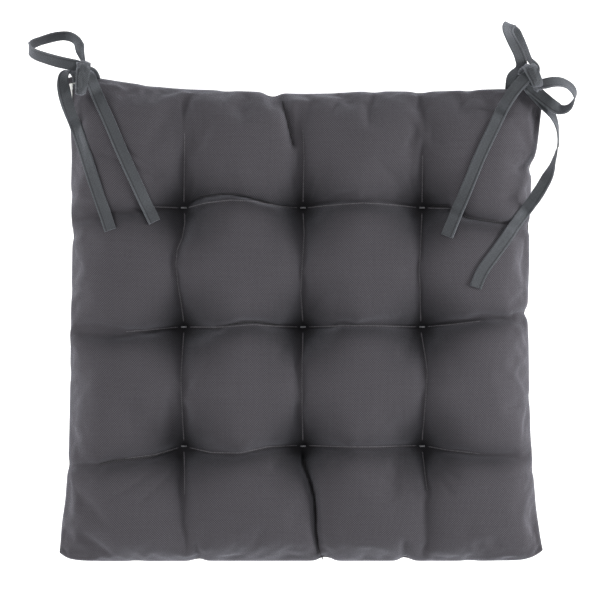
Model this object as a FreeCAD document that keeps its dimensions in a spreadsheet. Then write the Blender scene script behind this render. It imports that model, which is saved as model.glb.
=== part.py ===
import FreeCAD, Part
import Sketcher
import math
import os

# Square tufted chair seat pad, 400 x 400 mm, with two tie tapes sewn into each rear corner.
# Millimetres.  +Z is up through the pad, +Y points to the rear edge, where the ties are, and
# +X is the right-hand side seen from above.  The origin is the centre of the resting underside.

Vector = FreeCAD.Vector

doc = FreeCAD.newDocument("seat_pad")

# ---------------------------------------------------------------- driving dimensions

SIZES = [
    ("pad_width", 400.0),         # corner tip to corner tip, left to right
    ("pad_depth", 400.0),         # corner tip to corner tip, front to rear
    ("crown_height", 60.0),       # top of the pillowed cells
    ("seam_height", 28.0),        # mid plane of the edge seam
    ("side_pull", 10.0),          # how far the left and right edges pull in between the corners
    ("end_pull", 6.0),            # the same at the front and rear edges
    ("base_inset", 26.0),         # from the seam in to the flat resting face
    ("fabric_thickness", 0.6),
    ("seam_allowance", 9.0),      # fabric turned in behind the seam
    ("fill_setback", 3.0),        # filling to cover, sideways
    ("fill_clearance", 0.4),      # filling to cover, up and down
    ("tuft_pitch", 100.0),
    ("tuft_top", 34.0),           # height of the top cover where a tuft pulls it down
    ("tuft_base", 8.0),           # height of the bottom cover where a tuft pulls it up
    ("valley_height", 46.0),      # top cover between two tufts
    ("valley_spread", 19.0),
    ("tuft_spread", 17.0),
    ("dimple_radius", 24.0),      # of the dimples in the resting face
    ("thread_diameter", 1.2),
    ("thread_spread", 3.6),       # between the two legs of a tuft thread
    ("thread_slack", 1.8),        # the arches of a tuft thread stand this far off the covers
    ("needle_clearance", 0.2),    # thread to the hole that it is pulled through
    ("tape_width", 10.0),
    ("tape_thickness", 1.0),
    ("tape_clearance", 0.1),      # tape root to the seam allowances above and below it
    ("tape_root", 7.0),           # length of tape caught in the seam
    ("tape_inset", 12.0),         # outer tape's root from the side seam
    ("tape_spacing", 13.0),       # between the two roots at one corner
    ("seam_thread_width", 1.2),
    ("seam_thread_inset", 1.0),   # outer edge of the seam thread from the pad's edge
    ("bartack_width", 1.6),
    ("bartack_height", 0.6),
    ("closing_length", 130.0),    # opening that the filling went in through, sewn up last
]

sheet = doc.addObject("Spreadsheet::Sheet", "sizes")
for number, (alias, value) in enumerate(SIZES, start=1):
    sheet.set("A%d" % number, alias)
    sheet.set("B%d" % number, str(value))
    sheet.setAlias("B%d" % number, alias)
doc.recompute()


def size(alias):
    return float(sheet.get(alias))


half_width = size("pad_width") / 2
half_depth = size("pad_depth") / 2
fabric = size("fabric_thickness")
seam_gap = size("tape_thickness") + 2 * size("tape_clearance")
top_edge = size("seam_height") + seam_gap / 2       # lower face of the top cover's allowance
bottom_edge = size("seam_height") - seam_gap / 2    # upper face of the bottom cover's allowance
columns = (-1, 0, 1)
rows = (-1, 0, 1)

# ---------------------------------------------------------------- shapes that the covers share

DEGREE = 3            # of the splines
EDGE_POWER = 6        # how square the puffed section is: higher is squarer
SURFACE_STEP = 20.0 / 3    # mean distance between the points of the top surface
LEVEL_TOLERANCE = 0.001    # heights closer than this are the same height
SIDE_POINTS = 15      # points along one curved edge
ROLL_POINTS = 9       # points down the rolled side of the underside


def even_knots(count):
    # Evenly spaced knots for a clamped spline with this many control points.
    spans = count - DEGREE
    return list(range(spans + 1)), [DEGREE + 1] + [1] * (spans - 1) + [DEGREE + 1]


def smooth_face(grid):
    # A face that follows a grid of control points and ends exactly on the grid's outer lines.
    u_knots, u_repeats = even_knots(len(grid))
    v_knots, v_repeats = even_knots(len(grid[0]))
    surface = Part.BSplineSurface()
    surface.buildFromPolesMultsKnots(grid, u_repeats, v_repeats, u_knots, v_knots,
                                     False, False, DEGREE, DEGREE)
    return surface.toShape()


def outline_point(across, along, inset, height):
    # across and along run from -1 to 1 over the pad.  The edges bow in between the corners.
    x = across * (half_width - inset - size("side_pull") * (1 - along ** 2))
    y = along * (half_depth - inset - size("end_pull") * (1 - across ** 2))
    return Vector(x, y, height)


def edge_curve(start, end, inset, height):
    # One side of the outline, from corner to corner.
    points = []
    for number in range(SIDE_POINTS):
        share = number / (SIDE_POINTS - 1)
        across = start[0] + (end[0] - start[0]) * share
        along = start[1] + (end[1] - start[1]) * share
        points.append(outline_point(across, along, inset, height))
    curve = Part.BSplineCurve()
    knots, repeats = even_knots(len(points))
    curve.buildFromPolesMultsKnots(points, repeats, knots, False, DEGREE)
    return curve.toShape()


CORNERS = ((-1, -1), (1, -1), (1, 1), (-1, 1))


def outline_wire(inset, height):
    edges = []
    for number, corner in enumerate(CORNERS):
        edges.append(edge_curve(corner, CORNERS[(number + 1) % 4], inset, height))
    return Part.Wire(edges)


def outline_plate(inset, low, high):
    # A flat plate with the pad's outline.
    return Part.Face(outline_wire(inset, low)).extrude(Vector(0, 0, high - low))


def edge_puff(share):
    # 1 in the middle of the pad, falling to 0 at its edge with a rounded shoulder.
    return math.sqrt(max(0.0, 1 - abs(share) ** EDGE_POWER))


def valley(distance):
    return math.exp(-(distance / size("valley_spread")) ** 2)


def tuft_drop(x, y):
    # Depth below the crown: straight valleys between the tufts, and a deeper point at each tuft.
    pitch = size("tuft_pitch")
    across = min(1.0, sum(valley(x - column * pitch) for column in columns))
    along = min(1.0, sum(valley(y - row * pitch) for row in rows))
    drop = (size("crown_height") - size("valley_height")) * (1 - (1 - across) * (1 - along))
    for column in columns:
        for row in rows:
            reach = math.hypot(x - column * pitch, y - row * pitch) / size("tuft_spread")
            drop += (size("valley_height") - size("tuft_top")) * math.exp(-reach ** 2)
    return drop


def flat_face(edges):
    # The flat face inside a ring of edges, on curves of its own.
    curves = [edge.Curve.toShape(edge.FirstParameter, edge.LastParameter) for edge in edges]
    return Part.Face(Part.Wire(Part.__sortEdges__(curves)))


def outward_solid(faces):
    solid = Part.Solid(Part.Shell(faces))
    if solid.Volume < 0:
        solid.reverse()
    return solid


def surface_shares(length):
    # From -1 to 1 over the pad, closer together near the seam; the middle one is 0.
    half = round(length / SURFACE_STEP / 2)
    return [math.sin(math.pi / 2 * number / half) for number in range(-half, half + 1)]


def pillow_solid(inset, low, lowered):
    # The puffed upper half: a flat face at the height low and a pillowed surface above it.
    grid = []
    for across in surface_shares(size("pad_width")):
        line = []
        for along in surface_shares(size("pad_depth")):
            point = outline_point(across, along, inset, low)
            rise = size("crown_height") - lowered - low - tuft_drop(point.x, point.y)
            point.z = low + rise * edge_puff(across) * edge_puff(along)
            line.append(point)
        grid.append(line)
    top = smooth_face(grid)
    return outward_solid([top, flat_face(top.Edges)])


def pan_solid(inset, high, low):
    # The rolled lower half: a flat resting face, four rolled sides and a flat face at the seam.
    faces = []
    for number, corner in enumerate(CORNERS):
        following = CORNERS[(number + 1) % 4]
        grid = []
        for j in range(ROLL_POINTS):
            angle = math.pi / 2 * j / (ROLL_POINTS - 1)
            step_in = inset + size("base_inset") * (1 - math.cos(angle))
            height = high - (high - low) * math.sin(angle)
            line = []
            for i in range(SIDE_POINTS):
                share = i / (SIDE_POINTS - 1)
                across = corner[0] + (following[0] - corner[0]) * share
                along = corner[1] + (following[1] - corner[1]) * share
                line.append(outline_point(across, along, step_in, height))
            grid.append(line)
        faces.append(smooth_face(grid))
    base_edges = []
    seam_edges = []
    for face in faces:
        for edge in face.Edges:
            heights = [vertex.Z for vertex in edge.Vertexes]
            if max(heights) - min(heights) < LEVEL_TOLERANCE:
                if abs(heights[0] - high) < LEVEL_TOLERANCE:
                    seam_edges.append(edge)
                else:
                    base_edges.append(edge)
    faces.append(flat_face(base_edges))
    faces.append(flat_face(seam_edges))
    return outward_solid(faces)


def tuft_places():
    pitch = size("tuft_pitch")
    return [Vector(column * pitch, row * pitch, 0) for row in rows for column in columns]


def dimple_cones(floor, grow):
    # Cones that stand on the resting face under each tuft.
    height = size("tuft_base") + grow - floor
    wide = size("dimple_radius") + grow
    narrow = size("thread_spread") + grow
    return [Part.makeCone(wide, narrow, height, place + Vector(0, 0, floor))
            for place in tuft_places()]


def needle_holes():
    # Two holes for the two legs of each tuft thread, right through the pad.
    radius = size("thread_diameter") / 2 + size("needle_clearance")
    length = size("crown_height")
    holes = []
    for place in tuft_places():
        for side in (-1, 1):
            foot = place + Vector(side * size("thread_spread") / 2, 0, 0)
            holes.append(Part.makeCylinder(radius, length, foot))
    return holes


def add_shape(label, shape):
    # A sub-part whose shape comes from the functions above, with its place at the origin.
    feature = doc.addObject("Part::Feature", label)
    feature.Label = label
    feature.Shape = shape
    feature.Placement = FreeCAD.Placement()
    return feature


nodes = []

# ---------------------------------------------------------------- top and bottom covers

# Each cover is one square of canvas.  Its edge is turned in behind the seam as a flat allowance.

allowance = size("seam_allowance")
inner_inset = 2 * fabric
top_outer = pillow_solid(0, top_edge, 0)
top_inner = pillow_solid(inner_inset, top_edge + fabric, fabric)
top_opening = outline_plate(allowance, top_edge - fabric, top_edge + 2 * fabric)
top_panel = top_outer.cut(top_inner).cut(top_opening).cut(needle_holes())
nodes.append(add_shape("top_panel", top_panel))

bottom_outer = pan_solid(0, bottom_edge, 0).cut(dimple_cones(0, 0))
bottom_inner = pan_solid(fabric, bottom_edge - fabric, fabric).cut(dimple_cones(fabric, fabric))
bottom_opening = outline_plate(allowance, bottom_edge - 2 * fabric, bottom_edge + fabric)
bottom_panel = bottom_outer.cut(bottom_inner).cut(bottom_opening).cut(needle_holes())
nodes.append(add_shape("bottom_panel", bottom_panel))

# ---------------------------------------------------------------- fibre filling

# One puffed block of fibre inside the covers.  It stands back from the allowances and the tacks.

fill_gap = size("fill_clearance")
fill_inset = inner_inset + size("fill_setback")
fill_low = bottom_edge - fabric - fill_gap
fill_high = top_edge + fabric + size("bartack_height") + 2 * fill_gap
upper_fill = pillow_solid(fill_inset, fill_high, fabric + fill_gap)
lower_floor = fabric + fill_gap
lower_fill = pan_solid(fabric + size("fill_setback"), fill_low, lower_floor)
lower_fill = lower_fill.cut(dimple_cones(lower_floor, fabric + 2 * fill_gap))
middle_fill = outline_plate(allowance + size("fill_setback"), fill_low, fill_high)
filling = upper_fill.fuse([middle_fill, lower_fill]).removeSplitter().cut(needle_holes())
nodes.append(add_shape("fibre_filling", filling))

# ---------------------------------------------------------------- tie tape roots and tacks

ROOTS = {}
for side_name, side in (("left", -1), ("right", 1)):
    for place_name, order in (("outer", 0), ("inner", 1)):
        x = side * (half_width - size("tape_inset") - order * size("tape_spacing"))
        across = x / half_width
        y = half_depth - size("end_pull") * (1 - across ** 2)
        ROOTS["tie_%s_%s" % (side_name, place_name)] = Vector(x, y, size("seam_height"))


ROOT_MARGIN = 3.0   # the space reaches this far outside the seam thread


def root_space(root):
    # The room that a tape root takes in the seam.
    width = size("tape_width") + 2 * size("tape_clearance")
    length = size("tape_root") + size("seam_thread_inset") + ROOT_MARGIN
    corner = root + Vector(-width / 2, -size("tape_root"), -seam_gap)
    return Part.makeBox(width, length, 2 * seam_gap, corner)


# The lockstitch that joins the covers, drawn as one flat band of thread between the allowances.
# It stops each side of a tape root, where the tack takes over.

seam_outer = outline_plate(size("seam_thread_inset"), bottom_edge, top_edge)
seam_inner = outline_plate(size("seam_thread_inset") + size("seam_thread_width"),
                           bottom_edge - fabric, top_edge + fabric)
seam_band = seam_outer.cut(seam_inner)


def closing_space(length):
    # The middle of the rear seam, over the given length.
    corner = Vector(-length / 2, half_depth / 2, bottom_edge - fabric)
    return Part.makeBox(length, half_depth, seam_gap + 2 * fabric, corner)


root_spaces = [root_space(root) for root in ROOTS.values()]
seam_thread = seam_band.cut(root_spaces + [closing_space(size("closing_length"))])
nodes.append(add_shape("edge_seam_thread", seam_thread))

# The opening in the rear seam is sewn up by hand after filling, with its own thread.

closing_thread = seam_band.common(
    closing_space(size("closing_length") - 2 * size("tape_clearance")))
nodes.append(add_shape("closing_stitch_thread", closing_thread))

for label, root in ROOTS.items():
    tack = doc.addObject("Part::Box", label.replace("tie_", "bartack_"))
    tack.Label = tack.Name
    tack.setExpression("Length", "sizes.tape_width")
    tack.setExpression("Width", "sizes.bartack_width")
    tack.setExpression("Height", "sizes.bartack_height")
    tack.Placement.Base = Vector(root.x - size("tape_width") / 2,
                                 root.y - size("tape_root") / 2,
                                 top_edge + fabric + fill_gap / 2)
    nodes.append(tack)

# ---------------------------------------------------------------- tuft threads

# Each tuft is a ring of thick thread: two legs through the pad, an arch on top and one below.


def origin_plane(body, role):
    return [item for item in body.Origin.OriginFeatures if item.Role == role][0]


def tuft_thread(label, column, row):
    body = doc.addObject("PartDesign::Body", label)
    body.Label = label

    loop = body.newObject("Sketcher::SketchObject", label + "_loop")
    loop.AttachmentSupport = (origin_plane(body, "XZ_Plane"), [""])
    loop.MapMode = "FlatFace"
    reach = size("thread_spread") / 2
    low = size("tuft_base") - size("thread_slack")
    high = size("tuft_top") + size("thread_slack")
    normal = Vector(0, 0, 1)
    loop.addGeometry(Part.LineSegment(Vector(reach, low, 0), Vector(reach, high, 0)))
    loop.addGeometry(Part.ArcOfCircle(Part.Circle(Vector(0, high, 0), normal, reach), 0, math.pi))
    loop.addGeometry(Part.LineSegment(Vector(-reach, high, 0), Vector(-reach, low, 0)))
    loop.addGeometry(Part.ArcOfCircle(Part.Circle(Vector(0, low, 0), normal, reach),
                                      math.pi, 2 * math.pi))
    loop.addConstraint(Sketcher.Constraint("Tangent", 0, 2, 1, 1))
    loop.addConstraint(Sketcher.Constraint("Tangent", 1, 2, 2, 1))
    loop.addConstraint(Sketcher.Constraint("Tangent", 2, 2, 3, 1))
    loop.addConstraint(Sketcher.Constraint("Tangent", 3, 2, 0, 1))
    loop.addConstraint(Sketcher.Constraint("Vertical", 0))
    loop.addConstraint(Sketcher.Constraint("PointOnObject", 1, 3, -2))
    spread = loop.addConstraint(Sketcher.Constraint("DistanceX", -1, 1, 0, 1, reach))
    foot = loop.addConstraint(Sketcher.Constraint("DistanceY", -1, 1, 0, 1, low))
    leg = loop.addConstraint(Sketcher.Constraint("DistanceY", 0, 1, 0, 2, high - low))
    loop.setExpression("Constraints[%d]" % spread, "sizes.thread_spread / 2")
    loop.setExpression("Constraints[%d]" % foot, "sizes.tuft_base - sizes.thread_slack")
    loop.setExpression("Constraints[%d]" % leg,
                       "sizes.tuft_top - sizes.tuft_base + 2 * sizes.thread_slack")

    section = body.newObject("Sketcher::SketchObject", label + "_section")
    section.AttachmentSupport = (origin_plane(body, "XY_Plane"), [""])
    section.MapMode = "FlatFace"
    section.setExpression("AttachmentOffset.Base.z", "sizes.tuft_base")
    radius = size("thread_diameter") / 2
    section.addGeometry(Part.Circle(Vector(reach, 0, 0), normal, radius))
    section.addConstraint(Sketcher.Constraint("PointOnObject", 0, 3, -1))
    centre = section.addConstraint(Sketcher.Constraint("DistanceX", -1, 1, 0, 3, reach))
    round_size = section.addConstraint(Sketcher.Constraint("Radius", 0, radius))
    section.setExpression("Constraints[%d]" % centre, "sizes.thread_spread / 2")
    section.setExpression("Constraints[%d]" % round_size, "sizes.thread_diameter / 2")
    doc.recompute()

    pipe = body.newObject("PartDesign::AdditivePipe", label + "_pipe")
    pipe.Profile = section
    pipe.Spine = (loop, ["Edge1", "Edge2", "Edge3", "Edge4"])
    body.setExpression("Placement.Base.x", "sizes.tuft_pitch * %d" % column)
    body.setExpression("Placement.Base.y", "sizes.tuft_pitch * %d" % row)
    doc.recompute()
    return body


ROW_NAMES = {-1: "front", 0: "middle", 1: "rear"}
COLUMN_NAMES = {-1: "left", 0: "centre", 1: "right"}
for row in rows:
    for column in columns:
        label = "tuft_thread_%s_%s" % (ROW_NAMES[row], COLUMN_NAMES[column])
        nodes.append(tuft_thread(label, column, row))

# ---------------------------------------------------------------- tie tapes

# Each tape leaves the seam beside its corner, passes through the bow and ends in a free tail on
# the pad.  Its route is straight runs joined by tangent arcs; the points after the root are
# chosen by hand.

ROUTES = {
    # straight tape of the left bow: under the knot, then the tail down the left-hand cell
    "tie_left_outer": [
        (-189, 215, 33), (-196, 216, 40), (-202, 207, 46), (-199, 191, 51), (-190, 172, 57),
        (-181, 147, 62), (-173, 122, 63), (-165, 100, 60), (-159, 81, 62)],
    # looped tape of the left bow: over the knot, loop out to the left, knot again, tail
    "tie_left_inner": [
        (-176, 213, 34), (-181, 218, 43), (-190, 220, 51), (-202, 220, 52), (-215, 222, 45),
        (-226, 227, 34), (-229, 237, 22), (-217, 242, 13), (-202, 245, 11), (-190, 242, 17),
        (-182, 233, 29), (-177, 222, 43), (-174, 209, 56), (-169, 193, 61), (-162, 173, 63),
        (-151, 148, 65), (-138, 121, 64), (-130, 104, 61), (-123, 87, 60)],
    # inner tape of the right bow: loop to the rear, over the knot, tail
    "tie_right_inner": [
        (174, 213, 34), (176, 220, 43), (175, 230, 46), (170, 240, 40), (168, 250, 30),
        (174, 256, 20), (181, 249, 13), (187, 238, 15), (193, 228, 25), (199, 219, 39),
        (200, 211, 55), (191, 204, 65), (178, 198, 66), (168, 187, 65), (159, 168, 65), (148, 146, 66),
        (137, 119, 64), (128, 97, 60), (119, 76, 60)],
    # outer tape of the right bow: knot, loop to the right, back under the knot, tail that hangs
    # off the pad's edge and comes back onto it
    "tie_right_outer": [
        (188, 215, 35), (187, 214, 45), (190, 204, 52), (196, 194, 55), (204, 185, 52),
        (213, 179, 46), (222, 182, 39), (225, 191, 36), (218, 199, 38), (206, 203, 42),
        (195, 203, 44), (186, 198, 45), (184, 189, 46), (192, 181, 45), (202, 175, 41),
        (209, 163, 37), (212, 150, 35), (209, 137, 39), (202, 124, 47), (192, 107, 55),
        (180, 90, 59), (168, 73, 62), (157, 58, 64), (147, 45, 65), (144, 34, 64)],
}

ROOT_STRAIGHT = 6.0   # the tape runs this far straight out of the seam before it turns

# The routes were chosen on a pad of these sizes; they are stretched with the pad.
ROUTE_WIDTH = 400.0
ROUTE_DEPTH = 400.0
ROUTE_SEAM = 28.0
ROUTE_CROWN = 60.0


def stretched(point):
    rise = (size("crown_height") - size("seam_height")) / (ROUTE_CROWN - ROUTE_SEAM)
    return Vector(point[0] * size("pad_width") / ROUTE_WIDTH,
                  point[1] * size("pad_depth") / ROUTE_DEPTH,
                  size("seam_height") + (point[2] - ROUTE_SEAM) * rise)


def tape_points(label):
    root = ROOTS[label]
    inside = root - Vector(0, size("tape_root"), 0)
    outside = root + Vector(0, ROOT_STRAIGHT, 0)
    return [inside, outside] + [stretched(point) for point in ROUTES[label]]


def tape_path(points):
    # Straight runs with an arc at each point; returns the wire, its length and the arc radii.
    edges = []
    radii = []
    start = points[0]
    for before, corner, after in zip(points, points[1:], points[2:]):
        back = before - corner
        ahead = after - corner
        reach = 0.45 * min(back.Length, ahead.Length)
        half_turn = (math.pi - back.getAngle(ahead)) / 2
        radius = reach / math.tan(half_turn)
        back.normalize()
        ahead.normalize()
        middle = back + ahead
        middle.normalize()
        arc_start = corner + back * reach
        arc_end = corner + ahead * reach
        arc_middle = corner + middle * (radius / math.cos(half_turn) - radius)
        edges.append(Part.LineSegment(start, arc_start).toShape())
        edges.append(Part.Arc(arc_start, arc_middle, arc_end).toShape())
        radii.append(radius)
        start = arc_end
    edges.append(Part.LineSegment(start, points[-1]).toShape())
    wire = Part.Wire(edges)
    return wire, radii


def tape_solid(label):
    points = tape_points(label)
    wire, radii = tape_path(points)
    across = Vector(size("tape_width") / 2, 0, 0)
    through = Vector(0, 0, size("tape_thickness") / 2)
    start = points[0]
    section = Part.makePolygon([start - across - through, start + across - through,
                                start + across + through, start - across + through,
                                start - across - through])
    solid = wire.makePipeShell([section], True, False)
    expected = size("tape_width") * size("tape_thickness") * wire.Length
    print("%s: length %.1f, volume share %.4f, radii %s" % (
        label, wire.Length, solid.Volume / expected, " ".join("%.1f" % r for r in radii)))
    return solid


for label in ROUTES:
    nodes.append(add_shape(label, tape_solid(label)))

# ---------------------------------------------------------------- checks and files

doc.recompute()
for item in doc.Objects:
    if "Invalid" in item.State or "Error" in item.State:
        raise RuntimeError("%s failed: %s" % (item.Label, item.State))
for node in nodes:
    if node.Shape.isNull() or not node.Shape.isValid():
        raise RuntimeError("%s has no valid shape" % node.Label)

os.makedirs("parts", exist_ok=True)
for node in nodes:
    node.Shape.exportStep("parts/%s.step" % node.Label)
    print("%-28s solids %d volume %.1f" % (node.Label, len(node.Shape.Solids), node.Shape.Volume))
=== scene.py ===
# %% [markdown]
# # A tufted chair seat pad
# The pad is a flat bag of dark canvas, filled with fibre and pulled together by nine tufts.  Two
# tapes come out of the seam at each rear corner and are tied in a bow.
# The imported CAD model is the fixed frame: it says where each piece is.  This file gives every
# visible piece its real look, in metres, in that same frame.

# %% The fixed frame
import math
import bpy
import bmesh
import numpy as np
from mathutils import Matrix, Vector, noise


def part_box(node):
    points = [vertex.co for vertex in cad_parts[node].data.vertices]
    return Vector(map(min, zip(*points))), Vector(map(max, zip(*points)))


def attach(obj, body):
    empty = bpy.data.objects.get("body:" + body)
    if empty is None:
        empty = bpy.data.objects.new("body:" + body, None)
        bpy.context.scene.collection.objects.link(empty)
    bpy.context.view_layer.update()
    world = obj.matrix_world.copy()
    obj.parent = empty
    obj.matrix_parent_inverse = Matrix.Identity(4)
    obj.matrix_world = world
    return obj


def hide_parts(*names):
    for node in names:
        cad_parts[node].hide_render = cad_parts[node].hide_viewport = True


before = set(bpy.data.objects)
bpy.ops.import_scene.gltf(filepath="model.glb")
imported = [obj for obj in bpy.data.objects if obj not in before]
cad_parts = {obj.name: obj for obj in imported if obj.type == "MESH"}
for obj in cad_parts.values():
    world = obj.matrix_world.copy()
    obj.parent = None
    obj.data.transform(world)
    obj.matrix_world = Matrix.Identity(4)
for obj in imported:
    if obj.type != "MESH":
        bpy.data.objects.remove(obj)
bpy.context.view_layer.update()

MM = 0.001
scene = bpy.context.scene

# %% [markdown]
# ## Places and sizes
# Nothing is placed by eye where the frame knows it.  The tufts are where the tuft threads are, and
# the seam is the plane between the two covers.  Only the sizes that the frame doesn't hold are
# named here.

# %% Places read from the frame
top_low, top_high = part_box("top_panel")
bottom_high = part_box("bottom_panel")[1]
SEAM = (top_low[2] + bottom_high[2]) / 2 / MM
CROWN = top_high[2] / MM
tuft_nodes = sorted(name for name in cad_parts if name.startswith("tuft_thread"))
TUFTS = []
for name in tuft_nodes:
    low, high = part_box(name)
    TUFTS.append(((low[0] + high[0]) / 2 / MM, (low[1] + high[1]) / 2 / MM))
TUFT_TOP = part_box(tuft_nodes[0])[1][2] / MM - 4.0
PITCH = round(max(x for x, y in TUFTS))
print("seam at", round(SEAM, 1), "crown at", round(CROWN, 1), "tuft tops at", round(TUFT_TOP, 1))
print("tufts", [(round(x), round(y)) for x, y in TUFTS])

# %% [markdown]
# ## Camera
# The pad is seen square-on from above, from far enough away that it shows almost no perspective.
# The lens is worked out from the width of the field that has to fit in the picture.

# %% Camera
FIELD_WIDTH = 503 * MM
CAMERA_HEIGHT = 3.2
FIELD_LEVEL = 40 * MM
SENSOR = 36.0
camera_data = bpy.data.cameras.new("camera")
camera_data.sensor_width = SENSOR
camera_data.lens = SENSOR * (CAMERA_HEIGHT - FIELD_LEVEL) / FIELD_WIDTH
camera = bpy.data.objects.new("camera", camera_data)
camera.location = (-2.5 * MM, 22.6 * MM, CAMERA_HEIGHT)
scene.collection.objects.link(camera)
scene.camera = camera
print("lens", round(camera_data.lens, 1))

# %% [markdown]
# ## Routes of the tie tapes
# A tie tape is a flat cord.  Two come out of the seam at each rear corner and are tied in a bow.
# Each follows one smooth spline, whose control points are the route of the CAD tape, in
# millimetres.  Next to each point stands the way the tape's face looks there, because a tape,
# unlike a round cord, also has to be turned: flat on the pad, on edge round a loop.

# %% Routes and the way each face looks
SEAM_OUT = 199.3
ROOT_IN = 7.0
ROOT_OUT = 6.0
UP = (0, 0, 1)
DOWN = (0, 0, -1)
ROUTES = {
    "tie_left_outer": [
        ((-188, SEAM_OUT - ROOT_IN, 28), UP), ((-188, SEAM_OUT + ROOT_OUT, 28), UP),
        ((-190, 214, 33), (0.0, -0.8, 0.5)), ((-196, 217, 40), (0.2, -1.0, 0.0)),
        ((-202, 209, 45), (0.4, -0.5, -0.8)), ((-199, 191, 46), DOWN), ((-192, 172, 49), DOWN),
        ((-184, 150, 53), DOWN), ((-176, 125, 54), DOWN), ((-168, 101, 53), DOWN),
        ((-161, 81, 54), DOWN)],
    "tie_left_inner": [
        ((-175, SEAM_OUT - ROOT_IN, 28), UP), ((-175, SEAM_OUT + ROOT_OUT, 28), UP),
        ((-176, 213, 34), (0.0, -0.8, 0.5)), ((-181, 217, 42), (0.5, -0.8, -0.3)),
        ((-190, 219, 50), (0.1, -0.4, 0.9)), ((-202, 221, 51), (-0.1, -0.3, 0.95)),
        ((-215, 225, 45), (-0.3, -0.3, 0.9)), ((-228, 230, 35), (-0.7, -0.3, 0.65)),
        ((-232, 237, 23), (-1.0, 0.0, 0.0)), ((-219, 243, 14), (0.1, 0.7, -0.7)),
        ((-203, 247, 12), (-0.1, 0.7, -0.7)), ((-192, 244, 17), (0.3, 0.5, -0.8)),
        ((-187, 234, 29), (0.3, 0.1, -0.95)), ((-183, 223, 43), (0.9, 0.2, -0.3)),
        ((-178, 208, 53), (0.2, 0.2, 1.0)), ((-171, 191, 56), UP), ((-162, 172, 58), UP),
        ((-152, 148, 59), UP), ((-140, 122, 58), UP), ((-132, 104, 54), UP),
        ((-124, 88, 54), UP)],
    "tie_right_inner": [
        ((175, SEAM_OUT - ROOT_IN, 28), UP), ((175, SEAM_OUT + ROOT_OUT, 28), UP),
        ((177, 213, 34), (0.0, -0.8, 0.5)), ((184, 217, 43), (0.3, -0.5, 0.8)),
        ((181, 228, 46), (0.4, 0.1, 0.9)), ((175, 240, 41), (0.4, 0.2, 0.9)),
        ((171, 250, 31), (0.4, 0.6, 0.7)), ((175, 257, 20), (0.4, 0.95, 0.0)),
        ((180, 251, 13), (0.6, 0.5, -0.6)), ((185, 241, 15), (0.7, 0.3, -0.6)),
        ((189, 230, 25), (0.6, 0.4, -0.7)), ((193, 221, 39), (0.6, 0.5, -0.6)),
        ((194, 213, 54), (0.3, -0.3, -0.9)), ((187, 209, 62), (0.2, -0.3, -1.0)),
        ((177, 199, 59), DOWN), ((169, 187, 58), DOWN), ((160, 168, 58), DOWN),
        ((149, 146, 59), DOWN), ((138, 119, 57), DOWN), ((129, 97, 54), DOWN),
        ((120, 76, 55), DOWN)],
    "tie_right_outer": [
        ((188, SEAM_OUT - ROOT_IN, 28), UP), ((188, SEAM_OUT + ROOT_OUT, 28), UP),
        ((188, 214, 35), (0.0, -0.8, 0.5)), ((187, 213, 45), (0.2, -0.8, 0.6)),
        ((190, 205, 53), (0.5, 0.2, 0.85)), ((199, 202, 56), (0.1, 0.5, 0.85)),
        ((209, 205, 54), (0.0, 0.5, 0.85)), ((220, 204, 49), (0.4, 0.55, 0.7)),
        ((229, 196, 42), (0.9, 0.1, 0.4)), ((226, 185, 38), (0.8, -0.4, -0.3)),
        ((216, 181, 41), (0.2, -0.5, -0.85)), ((207, 187, 44), (0.2, 0.2, -1.0)),
        ((197, 196, 47), (0.2, 0.1, -1.0)), ((189, 202, 45), (0.4, -0.4, -0.8)),
        ((188, 203, 39), (0.7, -0.7, 0.1)), ((194, 197, 35), (0.3, -0.3, 0.9)),
        ((203, 187, 34), (0.3, 0.0, 0.95)), ((210, 177, 35), (0.8, 0.1, 0.6)),
        ((214, 165, 36), (1.0, 0.1, 0.2)), ((214, 151, 36), (1.0, 0.0, 0.0)),
        ((210, 137, 40), (0.9, 0.0, -0.4)), ((203, 122, 47), (0.3, 0.0, -1.0)),
        ((192, 105, 50), DOWN), ((181, 90, 52), DOWN), ((169, 73, 55), DOWN),
        ((158, 58, 57), DOWN), ((148, 45, 58), DOWN), ((144, 33, 57), DOWN)],
}
print({name: len(route) for name, route in ROUTES.items()})

# %% [markdown]
# ## From a route to a tape
# The route's points become the control points of a NURBS curve, and the curve's own points are
# read back from a mesh copy of it.  Along that line a strip is laid, one short station after the
# other, and at each station the strip stands across the line, turned to the face given above.

# %% A smooth line along a route
LINE_DETAIL = 12     # curve points for each control point
STATION = 1.5 * MM   # distance between two stations of a tape


def smooth_line(points):
    curve = bpy.data.curves.new("line", "CURVE")
    curve.dimensions = "3D"
    curve.resolution_u = LINE_DETAIL
    spline = curve.splines.new("NURBS")
    spline.points.add(len(points) - 1)
    for control, point in zip(spline.points, points):
        control.co = (point[0] * MM, point[1] * MM, point[2] * MM, 1.0)
    spline.order_u = 3
    spline.use_endpoint_u = True
    holder = bpy.data.objects.new("line", curve)
    mesh = bpy.data.meshes.new_from_object(holder)
    line = np.array([vertex.co for vertex in mesh.vertices])
    bpy.data.objects.remove(holder)
    bpy.data.curves.remove(curve)
    bpy.data.meshes.remove(mesh)
    return line


def unit(rows):
    return rows / np.maximum(np.linalg.norm(rows, axis=1, keepdims=True), 1e-9)


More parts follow.
